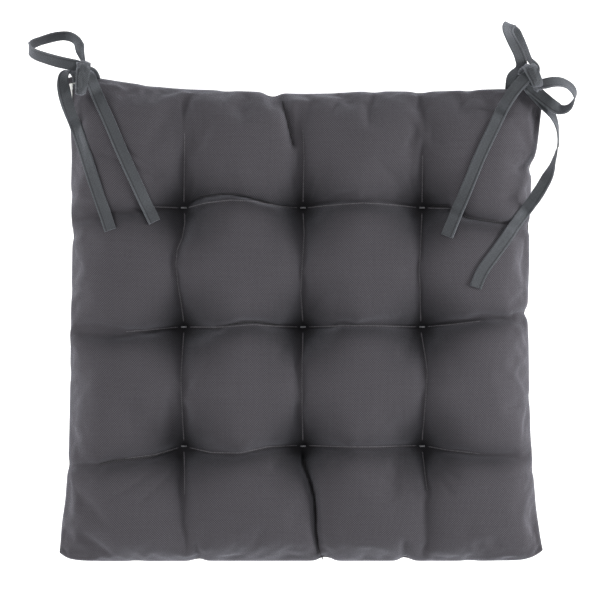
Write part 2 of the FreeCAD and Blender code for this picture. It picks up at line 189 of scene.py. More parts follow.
def stations(route):
    # Even stations along the line: places, directions and the face's normals.
    line = smooth_line([point for point, face in route])
    steps = np.linalg.norm(np.diff(line, axis=0), axis=1)
    travel = np.concatenate([[0.0], np.cumsum(steps)])
    count = int(travel[-1] / STATION) + 1
    marks = np.linspace(0.0, travel[-1], count)
    share = np.linspace(0.0, len(route) - 2.0, len(line))
    nearest = np.concatenate([[0.0], np.arange(len(route) - 2) + 0.5, [len(route) - 2.0]])
    faces = np.array([face for point, face in route], float)
    places = np.stack([np.interp(marks, travel, line[:, axis]) for axis in range(3)], axis=1)
    at = np.interp(marks, travel, share)
    normals = np.stack([np.interp(at, nearest, faces[:, axis]) for axis in range(3)], axis=1)
    forward = unit(np.gradient(places, axis=0))
    normals -= forward * np.sum(normals * forward, axis=1, keepdims=True)
    return places, forward, unit(normals), marks


for name in ROUTES:
    places, forward, normals, marks = stations(ROUTES[name])
    print(name, "is", round(marks[-1] / MM, 1), "mm long, with", len(marks), "stations")

# %% [markdown]
# ## A flat grid that becomes cloth
# The covers and the tapes are all cut from flat cloth, so each starts as a flat grid with a UV
# map.  The UV map is set in metres on the flat cloth, so that the weave has its real size
# everywhere and follows the cloth through every bend.

# %% Grids of cloth
from mathutils.bvhtree import BVHTree


def cloth_grid(name, along, across):
    # A mesh of along x across squares, and where each vertex sits in it, from 0 to 1.
    shape = bmesh.new()
    shape.loops.layers.uv.new("cloth")
    bmesh.ops.create_grid(shape, x_segments=along, y_segments=across, size=0.5, calc_uvs=True)
    mesh = bpy.data.meshes.new(name)
    shape.to_mesh(mesh)
    shape.free()
    flat = read_places(mesh)[:, :2] + 0.5
    return mesh, flat


def read_places(mesh):
    places = np.empty(len(mesh.vertices) * 3)
    mesh.vertices.foreach_get("co", places)
    return places.reshape(-1, 3)


def write_places(mesh, places):
    mesh.vertices.foreach_set("co", np.ascontiguousarray(places, float).ravel())
    mesh.update()


def write_cloth_uv(mesh, flat):
    corners = np.empty(len(mesh.loops), dtype=np.int32)
    mesh.loops.foreach_get("vertex_index", corners)
    mesh.uv_layers["cloth"].data.foreach_set("uv", flat[corners].ravel())


def new_piece(name, mesh):
    piece = bpy.data.objects.new(name, mesh)
    scene.collection.objects.link(piece)
    for polygon in mesh.polygons:
        polygon.use_smooth = True
    return piece


# %% [markdown]
# ## Outline of the covers
# Both covers were cut square and sewn together on all four sides.  The filling pulls the sides in
# and leaves the corners standing out as small ears.  Each side is listed point by point, corner
# to corner, and the whole outline is spread over the grid between the four sides.

# %% Outline
OUTLINE = {
    "left": [(-205, -190), (-204, -180), (-203, -165), (-200, -146), (-198, -117), (-197, -102),
             (-196, -55), (-195.5, -6), (-195, 23), (-194.5, 49), (-194, 77), (-195, 100),
             (-195.3, 114), (-194.6, 146), (-196, 174), (-198, 195), (-201, 209)],
    "right": [(202, -188), (200, -178), (198, -165), (196, -151), (193, -110), (191.5, -90),
              (190.3, -44), (190, -15), (189, 10), (189.6, 30), (190.5, 52), (190.5, 80),
              (191.6, 110), (193, 134), (197, 150), (199.5, 172), (201, 185), (203, 199)],
    "front": [(-205, -190), (-198, -195.5), (-185, -197), (-150, -197.3), (-88, -197),
              (0, -197), (86, -197), (150, -197), (185, -196.5), (196, -193), (202, -188)],
    "rear": [(-201, 209), (-190, 211.5), (-175, 210), (-154, 206.5), (-117, 201.5), (-98, 200),
             (-66, 199), (-41, 198), (-2.5, 196), (26, 196.5), (47, 198), (66, 198.3),
             (99, 198), (121, 198.5), (157, 200), (185, 200.5), (203, 199)],
}
OUTLINE_DETAIL = 401
OUTLINE_SMOOTHING = 30
EDGE_SHARE = 0.8       # the grid's rows close up outside this share of the half width
EDGE_CLOSING = 1.8056  # how much; the two numbers together keep the last row on the outline
MIDDLE_SPREAD = 1.0722


def travelled(points):
    # How far along a line on the pad each of its points is.
    return np.concatenate([[0.0], np.cumsum(np.hypot(*np.diff(points, axis=0).T))])


def side_curve(points):
    points = np.array(points, float)
    marks = travelled(points) / np.hypot(*np.diff(points, axis=0).T).sum()
    even = np.linspace(0.0, 1.0, OUTLINE_DETAIL)
    line = np.stack([np.interp(even, marks, points[:, axis]) for axis in (0, 1)], axis=1)
    for _ in range(OUTLINE_SMOOTHING):
        line[1:-1] = (line[:-2] + 2 * line[1:-1] + line[2:]) / 4
    return line


SIDE_CURVES = {name: side_curve(points) for name, points in OUTLINE.items()}


def on_side(name, share):
    line = SIDE_CURVES[name]
    even = np.linspace(0.0, 1.0, len(line))
    return np.stack([np.interp(share, even, line[:, axis]) for axis in (0, 1)], axis=1)


def edge_rows(share):
    # From 0..1 on the grid to -1..1 over the pad, with closer rows near the seam.
    signed = 2 * share - 1
    excess = np.maximum(np.abs(signed) - EDGE_SHARE, 0.0)
    return np.sign(signed) * (MIDDLE_SPREAD * np.abs(signed) - EDGE_CLOSING * excess ** 2)


def spread_outline(across, along):
    # across and along run from -1 to 1; the result is x and y in millimetres.
    right_share = ((across + 1) / 2)[:, None]
    rear_share = ((along + 1) / 2)[:, None]
    left = on_side("left", (along + 1) / 2)
    right = on_side("right", (along + 1) / 2)
    front = on_side("front", (across + 1) / 2)
    rear = on_side("rear", (across + 1) / 2)
    corner = {name: (SIDE_CURVES[name][0], SIDE_CURVES[name][-1]) for name in ("front", "rear")}
    sides = (1 - right_share) * left + right_share * right
    ends = (1 - rear_share) * front + rear_share * rear
    low = (1 - right_share) * corner["front"][0] + right_share * corner["front"][1]
    high = (1 - right_share) * corner["rear"][0] + right_share * corner["rear"][1]
    return sides + ends - (1 - rear_share) * low - rear_share * high


# %% [markdown]
# ## Tucks in the seam
# The seam doesn't run smoothly.  Here and there the threads gathered the cloth and made a small
# tuck, which shows as a notch in the outline and a pucker that fades into the cell.

# %% Tucks in the seam
# Each tuck: its place on the outline, the way it pulls, how deep and how wide it is.
TUCKS = [
    ((-194, 77), (1, 0), 2.0, 4), ((-199, -116), (1, 0), 2.2, 4), ((189, 12), (-1, 0), 4.5, 3),
    ((190, 84), (-1, 0), 3.2, 3), ((193, 134), (-1, 0), 3.8, 5), ((-26, 197), (0, -1), 5.0, 5),
    ((99, 198), (0, -1), 2.0, 5), ((-88, -197), (0, 1), 3.0, 4), ((19, -197), (0, 1), 5.0, 5),
    ((86, -197), (0, 1), 5.0, 4), ((-64, 199), (0, -1), 1.2, 5), ((60, 198), (0, -1), 1.4, 5),
    ((-130, 203), (0, -1), 1.0, 5), ((140, 199), (0, -1), 1.2, 4), ((-196, 30), (1, 0), 1.0, 4),
    ((-196, -40), (1, 0), 1.0, 4), ((191, -60), (-1, 0), 1.2, 4), ((193, -120), (-1, 0), 1.4, 4),
    ((-195, 110), (1, 0), 1.2, 4), ((-140, -197), (0, 1), 0.8, 5), ((140, -197), (0, 1), 0.8, 5),
]
TUCK_REACH = 9.0


def tuck_pull(places):
    pull = np.zeros_like(places)
    for (x, y), (way_x, way_y), depth, width in TUCKS:
        inward = (places[:, 0] - x) * way_x + (places[:, 1] - y) * way_y
        sideways = (places[:, 0] - x) * way_y + (places[:, 1] - y) * way_x
        amount = depth * np.exp(-(sideways / width) ** 2)
        amount *= np.exp(-np.maximum(inward, 0.0) / TUCK_REACH)
        pull[:, 0] += amount * way_x
        pull[:, 1] += amount * way_y
    return pull


# %% [markdown]
# ## Height of the top cover
# The tufts divide the pad into sixteen cells.  The cloth runs down into a valley between every
# two tufts and into a pit at each tuft.  The valleys of the real pad wander a little, so their
# lines are drawn row by row and column by column.

# %% Valleys
VALLEY_ROWS = [
    [(-205, -118), (-189, -115.6), (-170, -115.6), (-159, -112), (-124, -108), (-100, -100.5),
     (-77, -105.6), (-53, -106.4), (-29, -100.6), (0, -99.5), (21, -100.6), (56, -100.6),
     (100, -99.5), (121, -104), (157, -107), (205, -108)],
    [(-205, -4), (-189, -4), (-161, -7), (-131, -4), (-100, 0), (-71, -0.5), (-60, 1.5), (-49, 3),
     (-38.5, 3), (-23.5, 1), (0, 0), (21, 0), (33, 2), (56, 2), (100, 0), (115, 2.5), (137, 5),
     (152.5, 7), (171, 8.4), (205, 13)],
    [(-205, 95), (-184, 92), (-150, 97), (-100, 100), (-94, 106), (-79, 110), (-65, 112),
     (-53, 110.6), (-43, 108), (-28, 104), (-13, 101), (0, 100), (13, 103), (36, 106),
     (56, 106), (80, 103), (100, 100), (122, 101), (135, 93), (173, 86.5), (205, 84.6)],
]
VALLEY_COLUMNS = [
    [(-205, -99), (-143, -99), (-100, -100), (-42, -101), (0, -100), (20, -102), (36, -104.5),
     (52, -106), (65, -105), (74, -101.5), (87, -99), (100, -100), (143, -99), (205, -99)],
    [(-205, 20), (-189, 14), (-170, 11), (-145, 10), (-129, 6), (-116, 1), (-100, 0), (0, -0.5),
     (78, 0.5), (100, 0), (150, -1), (205, -3)],
    [(-205, 104), (-139, 104), (-100, 100), (-36, 103), (0, 99), (48, 97), (100, 100),
     (143, 100), (205, 100)],
]
ROW_DEPTH = 16.0
COLUMN_DEPTH = 17.0
VALLEY_WIDTH = 12.0
MIDDLE_RISE = 0.5     # how much shallower a valley is halfway between two tufts
ROW_DEPTH_ALONG = [(-205, 0.35), (-170, 0.6), (-110, 1.0), (110, 1.0), (160, 0.6), (205, 0.4)]
COLUMN_DEPTH_ALONG = [(-205, 0.3), (-160, 0.35), (-112, 1.0), (112, 1.0), (150, 0.45),
                      (205, 0.25)]
PIT_WIDTH = 21.0
BOWL_DEPTH = 11.0    # the broad hollow round each tuft, which rounds the cells' corners
BOWL_WIDTH = 27.0
SHOULDER = 5.0       # how square the puffed section is: higher is squarer
SHOULDER_ROUND = 0.55


def tuft_distances(x, y):
    return [np.hypot(x - tuft_x, y - tuft_y) for tuft_x, tuft_y in TUFTS]


def through(points, along):
    places, values = np.array(points, float).T
    return np.interp(along, places, values)


def shoulder(across, along, square):
    sides = np.clip(1 - np.abs(across) ** square, 0.0, 1.0)
    ends = np.clip(1 - np.abs(along) ** square, 0.0, 1.0)
    return (sides * ends) ** SHOULDER_ROUND


def between_tufts(along):
    inside = np.abs(along) < PITCH
    return 1 - MIDDLE_RISE * inside * np.sin(math.pi * along / PITCH) ** 2


def valleys(x, y):
    rows = np.zeros_like(x)
    for line in VALLEY_ROWS:
        distance = np.sqrt((y - through(line, x)) ** 2 + 1.0)
        rows = np.maximum(rows, np.exp(-distance / VALLEY_WIDTH))
    columns = np.zeros_like(x)
    for line in VALLEY_COLUMNS:
        distance = np.sqrt((x - through(line, y)) ** 2 + 1.0)
        columns = np.maximum(columns, np.exp(-distance / VALLEY_WIDTH))
    rows = rows * ROW_DEPTH * through(ROW_DEPTH_ALONG, x) * between_tufts(x)
    columns = columns * COLUMN_DEPTH * through(COLUMN_DEPTH_ALONG, y) * between_tufts(y)
    return rows + columns - rows * columns / ROW_DEPTH


def pits(x, y, height, floor):
    for distance in tuft_distances(x, y):
        height = height - BOWL_DEPTH * np.exp(-(distance / BOWL_WIDTH) ** 2)
    for distance in tuft_distances(x, y):
        nearest = height[np.argmin(distance)]
        height = height - (nearest - floor) * np.exp(-(distance / PIT_WIDTH) ** 1.5)
    return height


def top_height(across, along, x, y):
    full = shoulder(across, along, SHOULDER)
    height = SEAM + (CROWN - SEAM) * full - valleys(x, y) * full
    return pits(x, y, height, TUFT_TOP)


# %% [markdown]
# ## Top cover
# The top cover starts from these heights.  A cloth simulation then blows it up a little from
# below, as the filling does, while the seam and the tufts hold it.  How far it may move is
# capped, and afterwards the mesh is made finer once.

# %% Top cover before filling
COVER_GRID = 110
COVER_FLAT = 0.412     # width in metres of the flat square that the weave is laid out on


def pad_grid(name, squares):
    mesh, flat = cloth_grid(name, squares, squares)
    across = edge_rows(flat[:, 0])
    along = edge_rows(flat[:, 1])
    outline = spread_outline(across, along)
    outline = outline + tuck_pull(outline)
    write_cloth_uv(mesh, (flat - 0.5) * COVER_FLAT)
    return mesh, across, along, outline


mesh, across, along, outline = pad_grid("cover_top", COVER_GRID)
height = top_height(across, along, outline[:, 0], outline[:, 1])
write_places(mesh, np.column_stack([outline, height]) * MM)
cover_top = new_piece("cover_top", mesh)
print("top cover:", len(mesh.vertices), "vertices, heights", round(height.min(), 1), "to",
      round(height.max(), 1))

# %% Filling it out
CLOTH_FRAMES = 22
CLOTH_CAP = 7.0      # mm that a point may move
PRESSURE = 2.0
TUFT_HOLD = 30.0     # mm from a tuft within which its thread is felt
SLACK = 0.025        # spare cloth, as a share of its size
TUFT_GRIP = 3.6      # mm from a tuft within which the cloth can't move
RIM_SHARE = 0.9995   # outside this share of the half width lies the last row, in the seam


def on_rim(across, along):
    return np.maximum(np.abs(across), np.abs(along)) > RIM_SHARE


def hold_weights(across, along, x, y):
    # 1 where the seam and the tuft threads hold the cloth, 0 everywhere else.
    hold = on_rim(across, along)
    for distance in tuft_distances(x, y):
        hold = hold | (distance < TUFT_GRIP)
    return hold.astype(float)


def openness(outline):
    # 1 out on the cells, falling to 0 at a tuft, where the thread holds the cloth down.
    open_share = np.ones(len(outline))
    for distance in tuft_distances(*outline.T):
        open_share *= 1 - np.exp(-(distance / TUFT_HOLD) ** 2)
    return open_share


def fill_out(piece, hold):
    group = piece.vertex_groups.new(name="held")
    for index in np.nonzero(hold > 0.01)[0]:
        group.add([int(index)], float(hold[index]), "REPLACE")
    cloth = piece.modifiers.new("cloth", "CLOTH")
    settings = cloth.settings
    settings.quality = 6
    settings.mass = 0.25
    settings.tension_stiffness = 25
    settings.compression_stiffness = 25
    settings.shear_stiffness = 8
    settings.bending_stiffness = 0.15
    settings.use_pressure = True
    settings.uniform_pressure_force = PRESSURE
    settings.vertex_group_mass = group.name
    settings.shrink_min = -SLACK
    settings.effector_weights.gravity = 0.0
    cloth.collision_settings.use_collision = False
    cloth.point_cache.frame_start = 1
    cloth.point_cache.frame_end = CLOTH_FRAMES
    for number in range(1, CLOTH_FRAMES + 1):
        scene.frame_set(number)
    graph = bpy.context.evaluated_depsgraph_get()
    moved = read_places(piece.evaluated_get(graph).to_mesh())
    piece.modifiers.remove(cloth)
    piece.vertex_groups.remove(group)
    scene.frame_set(1)
    return moved


start = read_places(cover_top.data)
moved = fill_out(cover_top, hold_weights(across, along, outline[:, 0], outline[:, 1]))
step = (moved - start) / MM
reach = np.linalg.norm(step, axis=1)
limit = np.minimum(1.0, CLOTH_CAP * openness(outline) / np.maximum(reach, 1e-6))
write_places(cover_top.data, start + step * limit[:, None] * MM)
print("cloth moved up to", round(reach.max(), 1), "mm, middle value",
      round(float(np.median(reach)), 1))

# %% One step finer
def make_finer(piece):
    finer = piece.modifiers.new("finer", "SUBSURF")
    finer.levels = 1
    finer.render_levels = 1
    finer.boundary_smooth = "ALL"
    graph = bpy.context.evaluated_depsgraph_get()
    mesh = bpy.data.meshes.new_from_object(piece.evaluated_get(graph), depsgraph=graph)
    piece.modifiers.remove(finer)
    old = piece.data
    name = old.name
    piece.data = mesh
    bpy.data.meshes.remove(old)
    mesh.name = name


make_finer(cover_top)
print("finer top cover:", len(cover_top.data.vertices), "vertices")

# %% [markdown]
# ## Fine creases
# Between the stitches the canvas folds more sharply than the coarse cloth can.  The folds are
# drawn one by one, each as a line with a depth and a width: a groove is a line of positive depth,
# and a pinched ridge is a line of negative depth.

# %% Drawing a crease on a cover
CREASES = [
    # points, depth, width, all in millimetres
    ([(-96, 103), (-88, 109), (-79, 111), (-65, 112), (-53, 110.6), (-43, 108), (-28, 104),
      (-13, 102), (-4, 100)], 3.2, 1.3),
    ([(-92, 100), (-80, 104.5), (-66, 106.5), (-50, 104.5), (-36, 101), (-22, 98)], -2.2, 3.0),
    ([(4, 101), (13, 104), (36, 106), (56, 106.5), (78, 104), (96, 101)], 1.8, 1.6),
    ([(24, 110), (33.5, 112), (56, 114), (74, 112), (86, 109)], 1.5, 2.4),
    ([(104, 101), (122, 102), (135, 92), (173, 86.5), (190, 84.6)], 2.6, 2.2),
    ([(-200, 106), (-189, 103), (-172, 101), (-150, 103)], 1.2, 3.0),
    ([(-198, 86), (-184, 90), (-168, 88), (-155, 92)], 1.2, 3.0),
    ([(-104, 0), (-118, -2), (-146, -3), (-173, 2), (-195, 1)], 2.2, 2.2),
    ([(-120, -4), (-131, -6), (-161, -10), (-189, -6)], 2.0, 2.4),
    ([(-96, -1), (-71, -0.5), (-60, 2.5), (-49, 4.5), (-38.5, 4.5), (-23.5, 1.5), (-4, 0)], 2.4, 2.2),
    ([(4, 0), (21, 0), (33, 2.4), (56, 2.4), (78, 0.6), (96, 0)], 2.2, 2.2),
    ([(104, 0), (115, 2.5), (137, 5), (152.5, 7), (171, 8.4), (190, 12.6)], 2.6, 2.0),
    ([(-104, -101), (-124, -108), (-159, -112), (-170, -115), (-198, -116.5)], 2.6, 2.2),
    ([(-96, -102), (-77, -106), (-53, -106.6), (-29, -101), (-4, -99.5)], 2.6, 2.2),
    ([(4, -99.6), (21, -101), (56, -101), (80, -100), (96, -99.6)], 2.2, 2.2),
    ([(104, -100), (121, -104), (157, -107), (180, -108)], 1.8, 2.6),
    # the pleats at the front and at the rear
    ([(0, -104), (0, -116), (6, -129), (10, -145), (11, -170), (13, -189), (18, -197)], 6.0, 2.6),
    ([(-20, 197), (-18, 191), (-14, 178), (-10, 162), (-7, 148)], 7.0, 3.2),
    # folds that spread from the tufts
    ([(-103, -104), (-106, -109), (-127, -122), (-161, -145)], 1.8, 2.6),
    ([(-102, -106), (-108, -119), (-117, -129), (-137, -148)], 1.8, 2.6),
    ([(-101, -106), (-103, -122), (-105, -140)], 1.2, 2.6),
    ([(-105, -102), (-130, -112), (-150, -120)], 1.4, 2.6),
    ([(103, -104), (106, -106), (118, -118), (132, -129)], 1.6, 2.4),
    ([(102, -106), (111, -120), (124, -141)], 1.6, 2.4),
    ([(101, -106), (103, -121), (104, -138)], 1.4, 2.4),
    ([(-3, -103), (-14, -108), (-22, -114), (-29, -120)], 1.8, 2.6),
    ([(3, -103), (14, -110), (24, -118)], 1.2, 3.0),
    ([(-96, -104), (-86, -112), (-76, -118)], 1.2, 3.0),
    ([(-3, 103), (-8, 116), (-10, 130)], 1.4, 3.0), ([(3, 103), (8, 117), (12, 132)], 1.4, 3.0),
    ([(-97, 104), (-92, 118), (-90, 132)], 1.2, 3.0), ([(-103, 104), (-110, 117)], 1.2, 3.0),
    ([(97, 104), (91, 118), (88, 130)], 1.2, 3.0), ([(103, 104), (109, 118)], 1.2, 3.0),
    ([(-96, 96), (-88, 88), (-80, 82)], 1.3, 3.2), ([(-4, 96), (-14, 88)], 1.3, 3.2),
    ([(4, 96), (13, 88)], 1.3, 3.2), ([(96, 96), (87, 88)], 1.3, 3.2),
    ([(-96, -4), (-87, -13)], 1.2, 3.2), ([(-4, -4), (-13, -13), (-20, -22)], 1.3, 3.2),
    ([(4, -4), (12, -13)], 1.2, 3.2), ([(96, -4), (86, -14)], 1.2, 3.2),
    ([(104, -4), (114, -12)], 1.2, 3.2), ([(-104, -4), (-115, -12)], 1.0, 3.2),
    # puckers along the edges
    ([(-92, 199), (-94, 192), (-98, 178)], 1.8, 2.6), ([(31, 198), (28, 186), (22, 176)], 1.8, 2.6),
    ([(60, 199), (58, 190), (54, 182)], 1.2, 2.8), ([(99, 199), (97, 188), (93, 178)], 1.6, 2.8),
    ([(140, 201), (136, 190), (130, 182)], 1.2, 2.8), ([(-64, 200), (-66, 190)], 1.0, 2.8),
    ([(-130, 204), (-133, 192)], 1.0, 2.8), ([(-88, -198), (-88, -188), (-90, -178)], 1.8, 2.4),
    ([(86, -198), (85, -188), (84, -176)], 1.8, 2.4), ([(-140, -198), (-139, -188)], 0.8, 2.6),
    ([(140, -198), (139, -187)], 0.8, 2.6), ([(-196, 77), (-186, 78), (-176, 76)], 1.6, 2.2),
    ([(-194, 60), (-184, 62)], 0.8, 2.2), ([(-196, 30), (-184, 31), (-178, 29)], 1.2, 2.4),
    ([(-196, -26), (-186, -28)], 0.9, 2.4), ([(-197, -45), (-184, -44), (-176, -47)], 1.3, 2.4),
    ([(-197, -62), (-186, -64)], 0.8, 2.4), ([(192, 134), (183, 133), (174, 130)], 1.5, 2.4),
    ([(190, 52), (182, 52)], 0.8, 2.4), ([(191, -60), (183, -60), (175, -63)], 1.0, 2.4),
    ([(193, -98), (183, -98)], 1.0, 2.4), ([(194, -120), (184, -119), (176, -121)], 1.4, 2.4),
    ([(181, 111), (174, 110), (166, 108)], 1.4, 2.4),
    ([(-172, 146), (-158, 141), (-140, 133), (-121, 122)], 2.0, 2.8),
    ([(-152, 150), (-134, 139), (-116, 125)], 1.8, 2.8),
    ([(40, 128), (60, 131), (84, 126)], 0.7, 3.6), ([(-84, 130), (-60, 134), (-30, 130)], 0.6, 3.6),
]
CREASE_FADE = 7.0      # mm over which a crease begins and ends
CREASE_START = 0.25    # the share of its depth that it has at its very ends
CREASE_ROUND = 0.3     # square mm, which rounds its bottom
ROUND_DROP = 0.55      # mm, about the root of that, so that the depth stays as drawn
RIDGE_SHARE = 0.25     # a ridge's troughs, as a share of its height
RIDGE_TROUGH = 3.6     # mm from a ridge to the trough on each side of it
CREASE_REACH = 14.0    # mm beyond which a crease isn't felt
OVERHANG = 1.8         # mm that the cell behind a deep cross crease leans over it
LEAN_DEPTH = 2.9       # mm from which a crease is deep
LEVEL_RATIO = 2.5      # length to rise from which it runs across the pad
LEAN_PLACE = 2.2       # mm behind the crease where the cell leans most
LEAN_WIDTH = 2.4


def crease_field(points, places):
    # For every place: its distance to the line, the side of the line that it is on, and how
    # far along the line the nearer end is.
    points = np.array(points, float)
    starts = travelled(points)
    best = np.full(len(places), 1e9)
    travel = np.zeros(len(places))
    side = np.zeros(len(places))
    for number, step in enumerate(np.hypot(*np.diff(points, axis=0).T)):
        way = (points[number + 1] - points[number]) / step
        gap = places - points[number]
        along = np.clip(gap @ way, 0.0, step)
        off = gap - along[:, None] * way
        distance = np.hypot(off[:, 0], off[:, 1])
        nearer = distance < best
        best = np.where(nearer, distance, best)
        travel = np.where(nearer, starts[number] + along, travel)
        side = np.where(nearer, np.sign(off[:, 1]), side)
    end = np.minimum(travel, starts[-1] - travel)
    return best, side, end


def fold(places, creases):
    folded = places.copy()
    for points, depth, width in creases:
        low = np.min(points, axis=0) - CREASE_REACH
        high = np.max(points, axis=0) + CREASE_REACH
        near = np.all((places[:, :2] > low) & (places[:, :2] < high), axis=1)
        distance, side, end = crease_field(points, places[near, :2])
        fade = np.clip(CREASE_START + end / CREASE_FADE, 0.0, 1.0)
        sharp = np.exp(-(np.sqrt(distance ** 2 + CREASE_ROUND) - ROUND_DROP) / width)
        folded[near, 2] -= depth * fade * sharp
        if depth < 0:
            beside = np.exp(-((distance - RIDGE_TROUGH) / width) ** 2)
            folded[near, 2] += RIDGE_SHARE * depth * fade * beside
        length, rise = np.abs(np.subtract(points[0], points[-1]))
        if depth > LEAN_DEPTH and length > LEVEL_RATIO * rise:
            lean = np.exp(-((distance * side - LEAN_PLACE) / LEAN_WIDTH) ** 2)
            folded[near, 1] -= OVERHANG * fade * lean
    return folded


SHADE_WIDTH = 28.0      # mm round a tuft over which shade is painted into the cloth's colour
SHADE_SHIFT = 3.5       # towards the front, where the shade of each fold falls
VALLEY_SHADE_WIDTH = 10.0        # the same along a valley
ROW_SHADE = 0.62         # how much shade is painted along a row's valley
COLUMN_SHADE = 0.2
FADE_START = 200         # mm from the middle, where a valley's painted shade begins
FADE_LENGTH = 40


def painted_shade_field(x, y):
    # 1 at a tuft, less along the valleys, 0 on the open cells: where shade is painted into the cloth's
    # colour.
    near = np.zeros(len(x))
    for distance in tuft_distances(x, y + SHADE_SHIFT / 2):
        near = np.maximum(near, np.exp(-(distance / SHADE_WIDTH) ** 2))
    unshaded = 1 - near
    for lines, across, along, share, shift in (
            (VALLEY_ROWS, y, x, ROW_SHADE, SHADE_SHIFT), (VALLEY_COLUMNS, x, y, COLUMN_SHADE, 0)):
        for line in lines:
            away = np.abs(across - through(line, along) + shift)
            inside = np.clip((FADE_START - np.abs(along)) / FADE_LENGTH, 0.0, 1.0)
            unshaded *= 1 - share * inside * np.exp(-(away / VALLEY_SHADE_WIDTH) ** 1.5)
    return 1 - unshaded


# %% Folding the top cover
places = read_places(cover_top.data) / MM
places = fold(places, CREASES)
write_places(cover_top.data, places * MM)
# Painted shade: this mask darkens the cloth's colour round the tufts and along the valleys.
painted_shade = cover_top.data.attributes.new("painted_shade", "FLOAT", "POINT")
painted_shade.data.foreach_set("value", painted_shade_field(places[:, 0], places[:, 1]).astype(np.float32))
top_tree = BVHTree.FromPolygons([Vector(place) for place in read_places(cover_top.data)],
                                [polygon.vertices[:] for polygon in cover_top.data.polygons])
print(len(CREASES), "creases drawn; heights", round(places[:, 2].min(), 1), "to",
      round(places[:, 2].max(), 1))

# %% [markdown]
# ## Bottom cover
# The bottom cover shares the outline and the tufts, but it lies on the seat, so it is flat in
# the middle and rolls up to the seam at its sides.  The tufts pull shallow dimples into it.  It
# could be simulated too; it carries so few folds that heights and a few creases do.

# %% Bottom cover
BOTTOM_GRID = 72
BOTTOM_SHOULDER = 7.0
BOTTOM_FLAT = 1.04        # above 1 the middle is cut off flat where it rests
DIMPLE_DEPTH = 9.0
DIMPLE_WIDTH = 15.0
BOTTOM_VALLEY = 2.2
BOTTOM_VALLEY_WIDTH = 9.0
BULGE = 6.0               # mm that the side stands out beyond the seam on the right
BULGE_MIDDLE = 108.0
BULGE_LENGTH = 24.0
BULGE_REACH = 0.22        # how far in from the seam it begins, as a share of the half width
BOTTOM_CREASES = [
    ([(196, 84), (180, 84), (160, 88)], -2.0, 3.0), ([(196, 134), (182, 131), (168, 128)], -1.5, 3.0),
    ([(-26, 196), (-22, 180), (-18, 160)], -2.0, 3.5), ([(19, -196), (15, -178), (8, -150)], -2.0, 3.5),
    ([(-198, -116), (-180, -112), (-150, -104)], -1.5, 3.5),
    ([(-98, -96), (-60, -98), (-4, -100)], -1.5, 4.0),
    ([(4, 0), (50, 3), (96, 0)], -1.5, 4.0), ([(-96, 100), (-50, 97), (-4, 100)], -1.5, 4.0),
    ([(0, 4), (3, 50), (0, 96)], -1.5, 4.0), ([(-100, -96), (-97, -50), (-100, -4)], -1.5, 4.0),
    ([(100, -96), (97, -40), (100, -4)], -1.5, 4.0), ([(86, -197), (88, -180), (94, -150)], -1.5, 3.0),
]


def bottom_height(across, along, x, y):
    full = shoulder(across, along, BOTTOM_SHOULDER)
    height = SEAM * (1 - BOTTOM_FLAT * full)
    for distance in tuft_distances(x, y):
        height = height + DIMPLE_DEPTH * np.exp(-(distance / DIMPLE_WIDTH) ** 1.4)
    for line in (-PITCH, 0, PITCH):
        for place in (x, y):
            away = np.abs(place - line)
            height = height + BOTTOM_VALLEY * full * np.exp(-away / BOTTOM_VALLEY_WIDTH)
    return height


def side_bulge(across, y):
    inside = np.clip((1 - across) / BULGE_REACH, 0.0, 1.0)
    return BULGE * 4 * inside * (1 - inside) * np.exp(-((y - BULGE_MIDDLE) / BULGE_LENGTH) ** 2)


mesh, across, along, outline = pad_grid("cover_bottom", BOTTOM_GRID)
height = bottom_height(across, along, outline[:, 0], outline[:, 1])
outline[:, 0] += side_bulge(across, outline[:, 1])
places = fold(np.column_stack([outline, height]), BOTTOM_CREASES)
places[on_rim(across, along), 2] = SEAM
places[:, 2] = np.maximum(places[:, 2], 0.0)
write_places(mesh, places * MM)
mesh.flip_normals()
cover_bottom = new_piece("cover_bottom", mesh)
make_finer(cover_bottom)
lowest = read_places(cover_bottom.data)[:, 2].min()
print("bottom cover lowest at", round(lowest / MM, 2))

# %% Cloth thickness
FABRIC = 0.6 * MM


def give_thickness(piece, thickness, offset):
    wall = piece.modifiers.new("thickness", "SOLIDIFY")
    wall.thickness = thickness
    wall.offset = offset
    wall.use_even_offset = False
    wall.use_quality_normals = True


give_thickness(cover_top, FABRIC, -1.0)
give_thickness(cover_bottom, FABRIC, -1.0)

# %% [markdown]
# ## Filling
# Inside is one block of loose fibre.  Nobody sees it, but the pad isn't a pad without it, so it
# fills the bag: a flat grid is extruded once into a closed slab, and its two faces are laid just
# inside the two covers.

# %% Filling
FILLING_GRID = 56
FILLING_GAP = 3.2        # mm between the filling and the top cover
FILLING_SCALE = 0.978
FILLING_BASE = 1.6       # mm over the bottom cover
FILLING_LEAST = 0.8      # mm of fibre where the two covers meet
DEEP_CREASE = 4          # mm from which a crease in the cover presses the filling too
FILLING_CREASE = (4.0, 5.0)      # how deep and how wide it does
LOOK_AROUND = (-5.0, 0.0, 5.0)   # mm to each side, so that no narrow valley is missed


def height_under(tree, x, y, missing):
    hit = tree.ray_cast(Vector((x * MM, y * MM, 0.3)), Vector((0, 0, -1)))[0]
    return missing if hit is None else hit.z / MM


